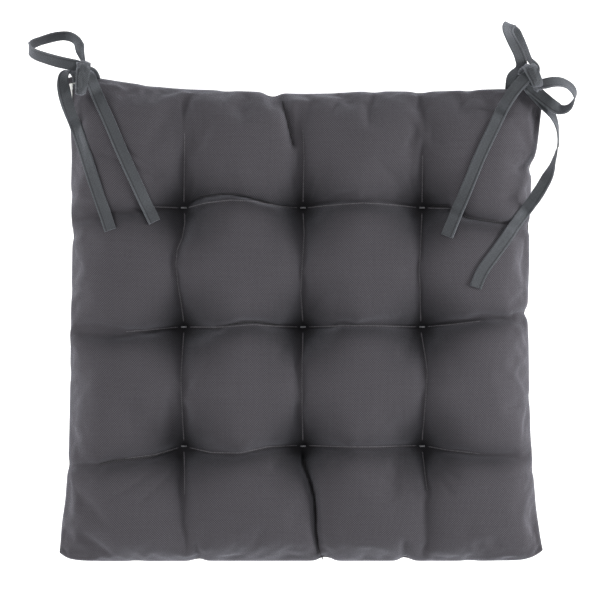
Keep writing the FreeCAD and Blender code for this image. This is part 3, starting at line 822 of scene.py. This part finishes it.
slab = bmesh.new()
bmesh.ops.create_grid(slab, x_segments=FILLING_GRID, y_segments=FILLING_GRID, size=0.5)
layer = bmesh.ops.extrude_face_region(slab, geom=slab.faces[:], use_keep_orig=True)
upper = {item for item in layer["geom"] if isinstance(item, bmesh.types.BMVert)}
slab.verts.ensure_lookup_table()
flat = np.array([[vertex.co.x, vertex.co.y] for vertex in slab.verts]) + 0.5
across = edge_rows(flat[:, 0])
along = edge_rows(flat[:, 1])
outline = spread_outline(across, along) * FILLING_SCALE
low_heights = bottom_height(across, along, outline[:, 0], outline[:, 1]) + FILLING_BASE
for number, vertex in enumerate(slab.verts):
    x, y = outline[number]
    low = max(low_heights[number], FILLING_BASE)
    high = min(height_under(top_tree, x + aside, y + ahead, SEAM)
               for aside in LOOK_AROUND for ahead in LOOK_AROUND) - FILLING_GAP
    vertex.co = Vector((x, y, max(high, low + FILLING_LEAST) if vertex in upper else low)) * MM
bmesh.ops.recalc_face_normals(slab, faces=slab.faces[:])
mesh = bpy.data.meshes.new("filling")
slab.to_mesh(mesh)
slab.free()
places = fold(read_places(mesh) / MM, [(line, *FILLING_CREASE) for line, depth, width in CREASES
                                      if depth > DEEP_CREASE])
places[:, 2] = np.maximum(places[:, 2], FILLING_BASE)
write_places(mesh, places * MM)
filling = new_piece("filling", mesh)
print("filling:", len(mesh.polygons), "faces")

# %% [markdown]
# ## Seam thread
# The lockstitch that joins the covers is hidden in the seam.  It follows the outline a little
# way in, tucks included.

# %% Seam thread
def piece_from_curve(curve):
    holder = bpy.data.objects.new(curve.name, curve)
    piece = new_piece(curve.name, bpy.data.meshes.new_from_object(holder))
    bpy.data.objects.remove(holder)
    return piece


SEAM_INSET = 0.985
THREAD_RADIUS = 0.5 * MM
ring = np.concatenate([SIDE_CURVES["front"][:-1], SIDE_CURVES["right"][:-1],
                       SIDE_CURVES["rear"][::-1][:-1], SIDE_CURVES["left"][::-1][:-1]])[::4]
ring = (ring + tuck_pull(ring)) * SEAM_INSET
curve = bpy.data.curves.new("seam_thread_line", "CURVE")
curve.dimensions = "3D"
curve.bevel_depth = THREAD_RADIUS
curve.bevel_resolution = 2
spline = curve.splines.new("POLY")
spline.points.add(len(ring) - 1)
for control, (x, y) in zip(spline.points, ring):
    control.co = (x * MM, y * MM, SEAM * MM, 1.0)
spline.use_cyclic_u = True
seam_thread = piece_from_curve(curve)
print("seam thread:", len(ring), "points")

# %% [markdown]
# ## Pinched folds
# In every valley the cloth is pulled so tight from tuft to tuft that it stands up in a thin
# pinched fold, less than a millimetre wide.  That is finer than the cover's mesh, so the folds
# are laid over it as thin rolls that follow the valley's ground.

# %% Pinched folds
FOLD_RADIUS = 0.42 * MM
# the rolls of painted shadow in the deepest creases
SHADOW_LINE_RADIUS = 0.45 * MM
ROLL_STEP = 3            # mm between two control points of a roll
END_SINK = 2.5           # how deep a roll's ends go into the cover, in radii
STAND_PROUD = 0.2        # how far its middle stands over the cover, in radii
FOLDS = [
    [(-99, 165), (-99, 143), (-100, 103)], [(-99.5, 97), (-99, 87), (-101, 74),
     (-105, 65), (-106, 52), (-104.5, 36), (-102, 20), (-100, 3)],
    [(-100, -3), (-102, -42), (-100, -97)], [(-100, -103), (-99, -125), (-99, -143)],
    [(0, 167), (1, 140), (0, 103)], [(0, 97), (1, 78), (-2, 30), (0, 3)],
    [(0, -3), (-1, -50), (0, -97)], [(100, 146), (100, 103)], [(100, 97), (97, 48), (99, 3)],
    [(99, -3), (104, -36), (100, -97)], [(100, -103), (104, -139)],
    [(-97, 100), (-80, 104), (-60, 106), (-40, 104.5), (-20, 101), (-3, 100)],
    [(3, 100), (20, 101.5), (50, 103.5), (78, 102), (97, 100)], [(103, 100), (126, 99)],
    [(-135, 101), (-103, 100)], [(-97, 0), (-71, 0), (-56, 0.8), (-42, 2), (-24, 0.6), (-3, 0)],
    [(3, 0), (33, 1), (56, 1), (97, 0)], [(103, 0), (125, 2), (150, 5)],
    [(-150, -4), (-125, -2), (-103, 0)], [(-97, -101), (-77, -105), (-53, -105), (-29, -100), (-3, -99.5)],
    [(3, -99.6), (56, -100), (97, -99.6)], [(-150, -110), (-124, -107), (-103, -101)],
    [(103, -100), (121, -103), (150, -106)],
]


def thin_roll(name, lines, radius):
    curve = bpy.data.curves.new(name, "CURVE")
    curve.dimensions = "3D"
    curve.bevel_depth = radius
    curve.bevel_resolution = 1
    curve.resolution_u = 6
    curve.use_fill_caps = True
    for line in lines:
        line = np.array(line, float)
        marks = travelled(line)
        even = np.linspace(0.0, marks[-1], int(marks[-1] / ROLL_STEP) + 2)
        spline = curve.splines.new("NURBS")
        spline.points.add(len(even) - 1)
        for number, mark in enumerate(even):
            x, y = np.interp(mark, marks, line[:, 0]), np.interp(mark, marks, line[:, 1])
            ground = height_under(top_tree, x, y, SEAM) * MM
            sink = radius * (END_SINK if number in (0, len(even) - 1) else -STAND_PROUD)
            spline.points[number].co = (x * MM, y * MM, ground - sink, 1.0)
        spline.order_u = 3
        spline.use_endpoint_u = True
    return piece_from_curve(curve)


# Painted shadow: near-black thin rolls laid in the deepest creases, where the fold's shade shows as a dark
# line.
PAINTED_SHADOW_LINES = [
    [(-90, 108.6), (-79, 110.4), (-70, 111.4), (-61, 110.9), (-52, 109.5), (-43, 107.8),
     (-33, 105.5), (-24, 103.3)],
    [(-64, 1.6), (-52, 3.4), (-42, 4.2), (-29, 2.9), (-16, 1.0)],
    [(104, 101.5), (122, 101), (130, 96), (137, 91.5), (150, 89), (172, 86.4)],
    [(1, -110), (3, -124), (8, -136), (10.5, -150), (11, -168), (13, -186), (17, -196)],
    [(-18, 192), (-14.5, 178), (-11, 163), (-8, 152)],
    [(-110, -104), (-124, -107.5), (-146, -110.5), (-160, -112), (-172, -115)],
]
folds = thin_roll("pinched_folds", FOLDS, FOLD_RADIUS)
shadow_lines = thin_roll("painted_crease_shadows", PAINTED_SHADOW_LINES, SHADOW_LINE_RADIUS)
print("folds:", len(FOLDS), "with", len(folds.data.polygons), "faces")

# %% [markdown]
# ## Tie tapes
# Each tape is canvas folded in four and stitched along one edge.  The strip is laid along its
# line; where it lies on the pad, its height is taken from the cover below, so that it follows
# the cells without sinking in.  The stitched edge is a little thicker, with a shallow groove
# where the stitches pull.

# %% Laying the tapes
TAPE_WIDTH = 10.0 * MM
TAPE_THICKNESS = 0.9 * MM
TAPE_SQUARES = 14
TAPE_LIFT = 0.75 * MM        # of the tape's middle over the cover
SETTLE_LIMIT = 16.0 * MM
MOST_TILT = 0.7              # rise over run that a tape leans with the cover
ROOT_STATIONS = 16           # in and beside the seam, where a tape doesn't lie on the pad
SEAM_STATIONS = 12           # of those, the ones inside the seam
FLAT_FACE = 0.75             # how level a face is that settles on the pad
FLATTER_FACE = 0.9           # and one that leans with it
SMOOTH_PASSES = 14
DEEPEST_SINK = 6 * MM        # a tape further under the cover than this passes below it
RIM_HEIGHT = SEAM + 8        # mm, the ground beside a tape that hangs over the rim
BOW_DEPTH = 0.35             # mm that a tape's edges stand over its middle
WAVE_RATE = 60               # how quickly a tape waves along its length, per metre
WAVE_BOW = 0.25
WAVE_WIDTH = 0.03
EDGE_RISE, EDGE_WIDTH = 0.22, 1.0        # mm, the thick sewn edge
STITCH_DEEP, STITCH_IN, STITCH_WIDE = 0.2, 1.8, 0.5   # mm, the groove of the stitches beside it
CRUMPLE = 1.6                # mm that a knot's cloth is crushed
CRUMPLE_ALONG, CRUMPLE_ACROSS = 420, 1.9
KNOT_BULGE = 1.7
KNOT_WIDENING = 1.25
KNOT_NARROWING = 0.6
STITCHED_SIDE = {"tie_left_outer": -1, "tie_left_inner": 1, "tie_right_inner": 1,
                 "tie_right_outer": 1}


def smoothed(values, passes):
    for _ in range(passes):
        ends = values[[0, -1]].copy()
        values = np.convolve(np.pad(values, 1, mode="edge"), (0.25, 0.5, 0.25), "valid")
        values[[0, -1]] = ends
    return values


def settle(places, normals):
    # How far each station sinks or rises to lie on the pad.
    change = np.zeros(len(places))
    for number, (place, normal) in enumerate(zip(places, normals)):
        ground = height_under(top_tree, place[0] / MM, place[1] / MM, None)
        if ground is None or abs(normal[2]) < FLAT_FACE or number < ROOT_STATIONS:
            continue
        gap = ground * MM + TAPE_LIFT - place[2]
        if abs(gap) < SETTLE_LIMIT:
            change[number] = gap
    return smoothed(change, SMOOTH_PASSES)


def ground_tilt(places, sideways, normals):
    # How the ground slopes across the tape at each station, as rise over run.
    tilt = np.zeros(len(places))
    for number, (place, side) in enumerate(zip(places, sideways)):
        if abs(normals[number, 2]) < FLATTER_FACE or number < ROOT_STATIONS:
            continue
        reach = side[:2] / np.hypot(*side[:2]) * TAPE_WIDTH / 2
        sides = [height_under(top_tree, *((place[:2] + way * reach) / MM), RIM_HEIGHT)
                 for way in (1, -1)]
        tilt[number] = np.clip((sides[0] - sides[1]) * MM / TAPE_WIDTH, -MOST_TILT, MOST_TILT)
    return smoothed(tilt, SMOOTH_PASSES)


def lay_tape(name, route, stitched=0, on_pad=True):
    places, forward, normals, marks = stations(route)
    if on_pad:
        places[:, 2] += settle(places, normals)
    sideways = np.cross(forward, normals)
    mesh, flat = cloth_grid(name, len(marks) - 1, TAPE_SQUARES)
    row = np.rint(flat[:, 0] * (len(marks) - 1)).astype(int)
    across = flat[:, 1] * 2 - 1
    wave = np.array([noise.noise(Vector((mark * WAVE_RATE, 3.1, len(name)))) for mark in marks])[row]
    bow = BOW_DEPTH * across ** 2 + WAVE_BOW * across * wave
    if stitched:
        from_edge = (1 - across * stitched) * TAPE_WIDTH / 2 / MM
        bow = bow + EDGE_RISE * np.exp(-(from_edge / EDGE_WIDTH) ** 2) - STITCH_DEEP * np.exp(
            -((from_edge - STITCH_IN) / STITCH_WIDE) ** 2)
    spread = across * TAPE_WIDTH / 2 * (1 + WAVE_WIDTH * wave)
    if not on_pad:
        crumple = np.array([
            noise.noise(Vector((mark * CRUMPLE_ALONG, side * CRUMPLE_ACROSS, len(name))))
            for mark, side in zip(marks[row], across)])
        bow = bow + KNOT_BULGE * (1 - across ** 2) + CRUMPLE * crumple
        spread *= KNOT_WIDENING - KNOT_NARROWING * (marks[row] / marks[-1]) ** 2
    sheet = places[row] + sideways[row] * spread[:, None]
    facing = np.where(normals[row, 2:3] < 0, -1.0, 1.0)
    sheet += normals[row] * facing * (bow * MM)[:, None]
    if on_pad:
        sheet[:, 2] += ground_tilt(places, sideways, normals)[row] * spread
        for number, place in enumerate(sheet):
            if row[number] < SEAM_STATIONS:
                continue
            ground = height_under(top_tree, place[0] / MM, place[1] / MM, None)
            if ground is not None and -DEEPEST_SINK < place[2] - ground * MM < TAPE_LIFT:
                sheet[number, 2] = ground * MM + TAPE_LIFT
    write_places(mesh, sheet)
    write_cloth_uv(mesh, np.column_stack([flat[:, 0] * marks[-1],
                                          across * (stitched or 1) * TAPE_WIDTH / 2]))
    tape = new_piece(name, mesh)
    give_thickness(tape, TAPE_THICKNESS, 0.0)
    return tape, places, marks[-1]


tapes = {}
for name, route in ROUTES.items():
    tape, middle, length = lay_tape(name + "_tape", route, STITCHED_SIDE[name])
    tapes[name] = (tape, middle, length)
    print(tape.name, round(length / MM), "mm")

# %% [markdown]
# ## Knots
# In the middle of a bow one tape is wound tightly round the others.  That turn is a short piece
# of the same tape, laid over the crossing and tucked under it.

# %% Knots
KNOTS = {
    "knot_left": [
        ((-186, 214, 38), (0.2, 0.6, -0.8)), ((-184, 221, 44), (0.1, 1.0, -0.2)),
        ((-183, 220, 54), (0.0, 0.8, 0.6)), ((-183, 214, 61), (0.0, 0.3, 1.0)),
        ((-184, 206, 63), UP), ((-185, 199, 60), (0.0, -0.6, 0.8)),
        ((-186, 194, 54), (0.0, -1.0, 0.1)), ((-186, 197, 45), (0.0, -0.6, -0.8))],
    "knot_right": [
        ((186, 213, 40), (-0.2, 0.6, -0.8)), ((187, 218, 48), (-0.1, 1.0, -0.1)),
        ((189, 217, 57), (0.0, 0.7, 0.7)), ((191, 212, 63), UP),
        ((194, 206, 63), (0.2, -0.3, 0.9)), ((196, 201, 58), (0.3, -0.8, 0.5)),
        ((196, 199, 50), (0.2, -0.9, -0.5))],
}
knots = {}
for name, route in KNOTS.items():
    knots[name], middle, length = lay_tape(name, route, 1, on_pad=False)
    print(name, round(length / MM), "mm of tape")

# %% [markdown]
# ## Woven cloth
# Covers and tapes are plain weave: threads run both ways and pass over and under each other.  The
# pattern could be drawn with a brick or a checker texture; here a small node group works out which
# thread is on top, how high it stands and how light it is, so canvas and tape share it, each
# with its own thread size.

# %% Node helpers
def add_node(tree, kind, **settings):
    node = tree.nodes.new(kind)
    for name, value in settings.items():
        setattr(node, name, value)
    return node


def math_node(tree, operation, first, second=None, clamp=False):
    node = add_node(tree, "ShaderNodeMath", operation=operation, use_clamp=clamp)
    for socket, value in zip(node.inputs, (first, second)):
        if value is None:
            continue
        if isinstance(value, (int, float)):
            socket.default_value = value
        else:
            tree.links.new(value, socket)
    return node.outputs[0]


def mix_node(tree, share, first, second):
    return math_node(tree, "ADD", math_node(tree, "MULTIPLY", first,
                                            math_node(tree, "SUBTRACT", 1.0, share)),
                     math_node(tree, "MULTIPLY", second, share))


def weighted_sum(tree, *parts):
    total = None
    for value, share in parts:
        part = math_node(tree, "MULTIPLY", value, share)
        total = part if total is None else math_node(tree, "ADD", total, part)
    return total


def split(tree, vector):
    node = add_node(tree, "ShaderNodeSeparateXYZ")
    tree.links.new(vector, node.inputs[0])
    return node.outputs


def new_group(name, inputs, outputs):
    group = bpy.data.node_groups.new(name, "ShaderNodeTree")
    for label, kind in inputs:
        group.interface.new_socket(name=label, in_out="INPUT", socket_type=kind)
    for label in outputs:
        group.interface.new_socket(name=label, in_out="OUTPUT", socket_type="NodeSocketFloat")
    return group, add_node(group, "NodeGroupInput"), add_node(group, "NodeGroupOutput")


def noise_node(tree, vector, scale, detail=3.0, roughness=0.55):
    node = add_node(tree, "ShaderNodeTexNoise")
    node.inputs["Scale"].default_value = scale
    node.inputs["Detail"].default_value = detail
    node.inputs["Roughness"].default_value = roughness
    tree.links.new(vector, node.inputs["Vector"])
    return node.outputs["Fac"]


def scaled(tree, vector, factors):
    node = add_node(tree, "ShaderNodeVectorMath", operation="MULTIPLY")
    tree.links.new(vector, node.inputs[0])
    node.inputs[1].default_value = factors
    return node.outputs[0]


# %% Weave group
def make_weave():
    group, entry, leave = new_group(
        "plain_weave", [("Cloth", "NodeSocketVector"), ("Threads", "NodeSocketFloat")],
        ("Height", "Tone", "Slub", "Over"))
    spread = add_node(group, "ShaderNodeVectorMath", operation="SCALE")
    group.links.new(entry.outputs["Cloth"], spread.inputs[0])
    group.links.new(entry.outputs["Threads"], spread.inputs["Scale"])
    rounds = []
    counts = []
    for place in split(group, spread.outputs[0])[:2]:
        counts.append(math_node(group, "FLOOR", place))
        wave = math_node(group, "MULTIPLY", math_node(group, "FRACT", place), math.pi)
        rounds.append(math_node(group, "SINE", wave))
    turn = math_node(group, "PINGPONG", math_node(group, "ADD", counts[0], counts[1]), 1.0)
    over = mix_node(group, turn, rounds[0], rounds[1])
    under = mix_node(group, turn, rounds[1], rounds[0])
    rise = math_node(group, "ADD", math_node(group, "MULTIPLY", under, 0.4), 0.6)
    group.links.new(math_node(group, "MULTIPLY", over, rise), leave.inputs["Height"])
    warp = noise_node(group, scaled(group, spread.outputs[0], (1.0, 0.03, 1.0)), 0.8, 2.0)
    weft = noise_node(group, scaled(group, spread.outputs[0], (0.03, 1.0, 1.0)), 0.8, 2.0)
    group.links.new(mix_node(group, turn, warp, weft), leave.inputs["Tone"])
    long_warp = noise_node(group, scaled(group, spread.outputs[0], (1.0, 0.04, 1.0)), 0.3, 2.0)
    long_weft = noise_node(group, scaled(group, spread.outputs[0], (0.04, 1.0, 1.0)), 0.3, 2.0)
    mottle = noise_node(group, spread.outputs[0], 0.45, 2.0, 0.7)
    slub = math_node(group, "MULTIPLY", math_node(group, "ADD", long_warp, long_weft), 0.2)
    slub = math_node(group, "ADD", slub, math_node(group, "MULTIPLY", mottle, 0.6))
    group.links.new(slub, leave.inputs["Slub"])
    group.links.new(turn, leave.inputs["Over"])
    return group


WEAVE = make_weave()


def make_uneven():
    # Slow changes over the cloth: dye that took unevenly, and specks of lint.
    group, entry, leave = new_group("uneven_dye", [("Place", "NodeSocketVector")],
                                    ("Dye", "Lint"))
    group.links.new(noise_node(group, entry.outputs["Place"], 9.0, 4.0), leave.inputs["Dye"])
    fine = noise_node(group, entry.outputs["Place"], 900.0, 2.0, 0.7)
    speck = math_node(group, "MULTIPLY", math_node(group, "SUBTRACT", fine, 0.62), 6.0,
                      clamp=True)
    group.links.new(speck, leave.inputs["Lint"])
    return group


UNEVEN = make_uneven()
print("groups:", WEAVE.name, UNEVEN.name)

# %% [markdown]
# ## Canvas and tape
# Both are dyed anthracite.  Canvas is matt with a faint sheen at grazing angles, which comes from
# the loose fibres on it.

# %% Cloth materials
def ramp_node(tree, value, stops):
    node = add_node(tree, "ShaderNodeValToRGB")
    ramp = node.color_ramp
    ramp.elements[0].position, ramp.elements[-1].position = stops[0][0], stops[-1][0]
    ramp.elements[0].color = (*stops[0][1], 1.0)
    ramp.elements[-1].color = (*stops[-1][1], 1.0)
    for place, colour in stops[1:-1]:
        ramp.elements.new(place).color = (*colour, 1.0)
    tree.links.new(value, node.inputs[0])
    return node.outputs[0]


def new_material(name, roughness, sheen=0.0, tint=(1, 1, 1)):
    material = bpy.data.materials.new(name)
    material.use_nodes = True
    shader = material.node_tree.nodes["Principled BSDF"]
    shader.inputs["Roughness"].default_value = roughness
    shader.inputs["Specular IOR Level"].default_value = 0.08
    shader.inputs["Sheen Weight"].default_value = sheen
    shader.inputs["Sheen Roughness"].default_value = 0.5
    shader.inputs["Sheen Tint"].default_value = (*tint, 1.0)
    return material, material.node_tree, shader


def bump_node(tree, height, strength, distance, normal=None):
    node = add_node(tree, "ShaderNodeBump")
    node.inputs["Strength"].default_value = strength
    node.inputs["Distance"].default_value = distance
    tree.links.new(height, node.inputs["Height"])
    if normal is not None:
        tree.links.new(normal, node.inputs["Normal"])
    return node.outputs["Normal"]


GROOVE_PLACE = 3.1 * MM     # from the tape's middle line
GROOVE_REACH = 0.75 * MM
# painted shade in the stitch groove and a painted highlight on the sewn edge, as shares of the colour
GROOVE_PAINTED_SHADE = 0.6
EDGE_PLACE = GROOVE_PLACE + 0.5 * MM
EDGE_STEEPNESS = 1500.0
EDGE_PAINTED_HIGHLIGHT = 0.45
STITCH_LENGTH = 3.0 * MM
STITCH_PLACE = 3.2 * MM     # from the tape's middle line
STITCH_REACH = 0.5 * MM


def near_line(tree, across, place, reach):
    # 1 on a line along the tape, falling to 0 this far to each side of it.
    away = math_node(tree, "ABSOLUTE", math_node(tree, "SUBTRACT", across, place))
    return math_node(tree, "SUBTRACT", 1.0, math_node(tree, "DIVIDE", away, reach), clamp=True)


def edge_shade_and_highlight(tree, uv):
    # Painted shade in the groove of the stitches, a painted highlight on the thick edge outside it.
    along, across = split(tree, uv)[:2]
    near = near_line(tree, across, GROOVE_PLACE, GROOVE_REACH)
    beyond = math_node(tree, "MULTIPLY", math_node(tree, "SUBTRACT", across, EDGE_PLACE),
                       EDGE_STEEPNESS, clamp=True)
    tone = math_node(tree, "ADD", 1.0, math_node(tree, "MULTIPLY", beyond, EDGE_PAINTED_HIGHLIGHT))
    return math_node(tree, "SUBTRACT", tone, math_node(tree, "MULTIPLY", near, GROOVE_PAINTED_SHADE))


PAINTED_SHADE_STRENGTH = 0.88     # how much darker the painted shade makes the cloth, as a share
TONE_SHARES = (("Tone", 0.5), ("Height", 0.35), ("Dye", 0.35), ("Lint", 0.2), ("Slub", 1.5),
               ("Over", 1.15))
TONE_BASE = 1.6          # taken off their sum, so that it lies round the middle of the ramp


def woven_material(name, threads, dark, light, sheen, stitch_side=0):
    material, tree, shader = new_material(name, 0.88, sheen, (0.85, 0.88, 1.0))
    cloth = add_node(tree, "ShaderNodeUVMap", uv_map="cloth")
    weave = add_node(tree, "ShaderNodeGroup", node_tree=WEAVE)
    tree.links.new(cloth.outputs["UV"], weave.inputs["Cloth"])
    weave.inputs["Threads"].default_value = threads
    uneven = add_node(tree, "ShaderNodeGroup", node_tree=UNEVEN)
    tree.links.new(cloth.outputs["UV"], uneven.inputs["Place"])
    parts = {**dict(weave.outputs.items()), **dict(uneven.outputs.items())}
    tone = weighted_sum(tree, *((parts[label], share) for label, share in TONE_SHARES))
    tone = math_node(tree, "SUBTRACT", tone, TONE_BASE)
    colour = ramp_node(tree, tone, [(0.0, dark), (1.0, light)])
    # Painted shade: the mask darkens the base colour by up to this share at a tuft, and less along the
    # valleys.
    painted_shade_node = add_node(tree, "ShaderNodeAttribute", attribute_name="painted_shade")
    share = math_node(tree, "MULTIPLY", painted_shade_node.outputs["Fac"], -PAINTED_SHADE_STRENGTH)
    shaded = add_node(tree, "ShaderNodeVectorMath", operation="SCALE")
    tree.links.new(colour, shaded.inputs[0])
    share = math_node(tree, "ADD", share, 1.0)
    # Painted shade and highlight along the tape's sewn edge.
    if stitch_side:
        share = math_node(tree, "MULTIPLY", share, edge_shade_and_highlight(tree, cloth.outputs["UV"]))
    tree.links.new(share, shaded.inputs["Scale"])
    tree.links.new(shaded.outputs[0], shader.inputs["Base Color"])
    normal = bump_node(tree, weave.outputs["Slub"], 0.5, 0.6 * MM)
    normal = bump_node(tree, weave.outputs["Height"], 0.5, 0.25 * MM, normal)
    if stitch_side:
        normal = stitch_bump(tree, cloth.outputs["UV"], normal)
    tree.links.new(normal, shader.inputs["Normal"])
    return material


def stitch_bump(tree, uv, normal):
    # A row of short stitches beside the tape's sewn edge.
    along, across = split(tree, uv)[:2]
    phase = math_node(tree, "MULTIPLY", along, math.pi / STITCH_LENGTH)
    dash = math_node(tree, "ABSOLUTE", math_node(tree, "SINE", phase))
    near = near_line(tree, across, STITCH_PLACE, STITCH_REACH)
    height = math_node(tree, "MULTIPLY", near, math_node(tree, "SUBTRACT", dash, 0.5))
    return bump_node(tree, height, 0.6, 0.5 * MM, normal)


canvas = woven_material("anthracite_canvas", 1080.0, (0.0265, 0.0245, 0.0275),
                        (0.0685, 0.064, 0.072), 0.26)
tape_cloth = woven_material("tape_canvas", 1500.0, (0.026, 0.0285, 0.031),
                            (0.069, 0.073, 0.078), 0.3, 1)

# %% [markdown]
# ## Thread and fibre
# The tuft threads are thick and twisted: slanting bands across each strand.  The filling is loose
# white fibre.

# %% Thread and fibre materials
def own_place(tree):
    return add_node(tree, "ShaderNodeTexCoord").outputs["Object"]


def colour_and_bump(tree, shader, tone, stops, strength, depth):
    tree.links.new(ramp_node(tree, tone, stops), shader.inputs["Base Color"])
    tree.links.new(bump_node(tree, tone, strength, depth), shader.inputs["Normal"])


def thread_material(name, dark, light, turns):
    material, tree, shader = new_material(name, 0.6, 0.2)
    place = own_place(tree)
    wave = add_node(tree, "ShaderNodeTexWave", wave_type="BANDS", bands_direction="DIAGONAL")
    wave.inputs["Scale"].default_value = turns
    wave.inputs["Distortion"].default_value = 1.2
    tree.links.new(place, wave.inputs["Vector"])
    fluff = noise_node(tree, place, 4000.0)
    tone = weighted_sum(tree, (wave.outputs["Fac"], 0.7), (fluff, 0.3))
    colour_and_bump(tree, shader, tone, [(0.1, dark), (0.9, light)], 0.6, 0.2 * MM)
    return material


tuft_cord = thread_material("twisted_tuft_thread", (0.045, 0.045, 0.05), (0.17, 0.17, 0.18), 500.0)
seam_cord = thread_material("seam_thread", (0.03, 0.03, 0.032), (0.09, 0.09, 0.095), 900.0)


def fold_material(name, dark, light):
    # The canvas again, but on a roll that has no flat cloth map: its threads are on the object.
    material, tree, shader = new_material(name, 0.85, 0.2)
    place = own_place(tree)
    threads = noise_node(tree, place, 1400.0, 2.0)
    colour_and_bump(tree, shader, threads, [(0.35, dark), (0.65, light)], 0.4, 0.2 * MM)
    return material


fold_cloth = fold_material("folded_canvas", (0.028, 0.026, 0.029), (0.09, 0.085, 0.094))
# Painted shadow: a near-black canvas for the rolls in the deepest creases.
shadow_line_cloth = fold_material("painted_shadow_canvas", (0.004, 0.004, 0.005), (0.012, 0.011, 0.012))


def fibre_material():
    material, tree, shader = new_material("loose_fibre", 0.95, 0.3)
    place = own_place(tree)
    clumps = noise_node(tree, place, 60.0, 5.0, 0.7)
    strands = noise_node(tree, place, 700.0, 4.0, 0.8)
    tone = weighted_sum(tree, (clumps, 0.5), (strands, 0.5))
    colour_and_bump(tree, shader, tone, [(0.3, (0.55, 0.55, 0.53)), (0.7, (0.86, 0.86, 0.84))],
                    0.8, 1.5 * MM)
    return material


fibre = fibre_material()


def dress(piece, material):
    piece.data.materials.clear()
    piece.data.materials.append(material)


for piece, material in ((cover_top, canvas), (cover_bottom, canvas), (filling, fibre),
                        (seam_thread, seam_cord), (folds, fold_cloth), (shadow_lines, shadow_line_cloth)):
    dress(piece, material)
for tape, middle, length in tapes.values():
    dress(tape, tape_cloth)
for knot in knots.values():
    dress(knot, tape_cloth)
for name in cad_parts:
    if name.startswith("tuft_thread") or name.startswith("bartack"):
        node = bpy.data.objects[name]
        for slot in node.material_slots:
            slot.material = tuft_cord if name.startswith("tuft_thread") else seam_cord
print("materials:", sorted(material.name for material in bpy.data.materials))

# %% [markdown]
# ## What each piece rides on
# Every new piece rides on the root, and the CAD pieces that the covers, the filling, the seam
# thread and the tapes stand for are hidden.

# %% Telling the frame
for piece, node, slot in (
        (cover_top, ("top_panel",), "cover_canvas"), (cover_bottom, ("bottom_panel",), "cover_canvas"),
        (filling, ("fibre_filling",), "fibre_filling"),
        (seam_thread, ("edge_seam_thread", "closing_stitch_thread"), "seam_thread")):
    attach(piece, "root")
    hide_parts(*node)
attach(folds, "root")
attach(shadow_lines, "root")
for knot in knots.values():
    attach(knot, "root")
for name, (tape, middle, length) in tapes.items():
    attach(tape, "root")
    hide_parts(name)

# %% [markdown]
# ## Floor and light
# The pad lies on a plain white floor.  Four soft boxes stand round it at the corners, two lower
# ones at the sides and a weak one above, so the light is even on the cells and brighter on the
# rims.  The valleys and the pits lie in some shade, and painted shade in the cloth's colour
# darkens them further.

# %% Floor
FLOOR_SIZE = 4.0
shape = bmesh.new()
bmesh.ops.create_grid(shape, x_segments=1, y_segments=1, size=FLOOR_SIZE)
mesh = bpy.data.meshes.new("floor")
shape.to_mesh(mesh)
shape.free()
floor = new_piece("floor", mesh)
material, tree, shader = new_material("white_floor", 0.9)
tree.links.new(ramp_node(tree, noise_node(tree, own_place(tree), 3.0),
                         [(0.0, (0.86, 0.86, 0.86)), (1.0, (0.9, 0.9, 0.9))]),
               shader.inputs["Base Color"])
shader.inputs["Emission Color"].default_value = (1.0, 1.0, 1.0, 1.0)
shader.inputs["Emission Strength"].default_value = 0.55
dress(floor, material)

# %% Light
SOFT_BOXES = {
    # place, size across and up, power in watts
    "box_front_left": ((-1.39, -1.39, 1.38), (1.2, 0.8), 41),
    "box_front_right": ((1.39, -1.39, 1.38), (1.2, 0.8), 18),
    "box_rear_left": ((-1.39, 1.39, 1.38), (1.2, 0.8), 19),
    "box_rear_right": ((1.39, 1.39, 1.38), (1.2, 0.8), 30),
    "box_left": ((-2.33, 0.0, 0.58), (1.2, 0.6), 41),
    "box_right": ((2.33, 0.0, 0.58), (1.2, 0.6), 96),
    "box_over": ((0.0, -0.3, 2.8), (0.8, 0.8), 4),
}
AIM = Vector((0, 0, 30 * MM))
for name, (place, size, power) in SOFT_BOXES.items():
    light = bpy.data.lights.new(name, "AREA")
    light.shape = "RECTANGLE"
    light.size, light.size_y = size
    light.energy = power
    lamp = bpy.data.objects.new(name, light)
    lamp.location = place
    lamp.rotation_euler = (Vector(place) - AIM).to_track_quat("Z", "Y").to_euler()
    scene.collection.objects.link(lamp)
world = bpy.data.worlds.new("room")
world.use_nodes = True
background = world.node_tree.nodes["Background"]
background.inputs["Color"].default_value = (1.0, 1.0, 1.0, 1.0)
background.inputs["Strength"].default_value = 0.03
scene.world = world
scene.view_settings.view_transform = "Standard"
print("lights:", len(SOFT_BOXES))
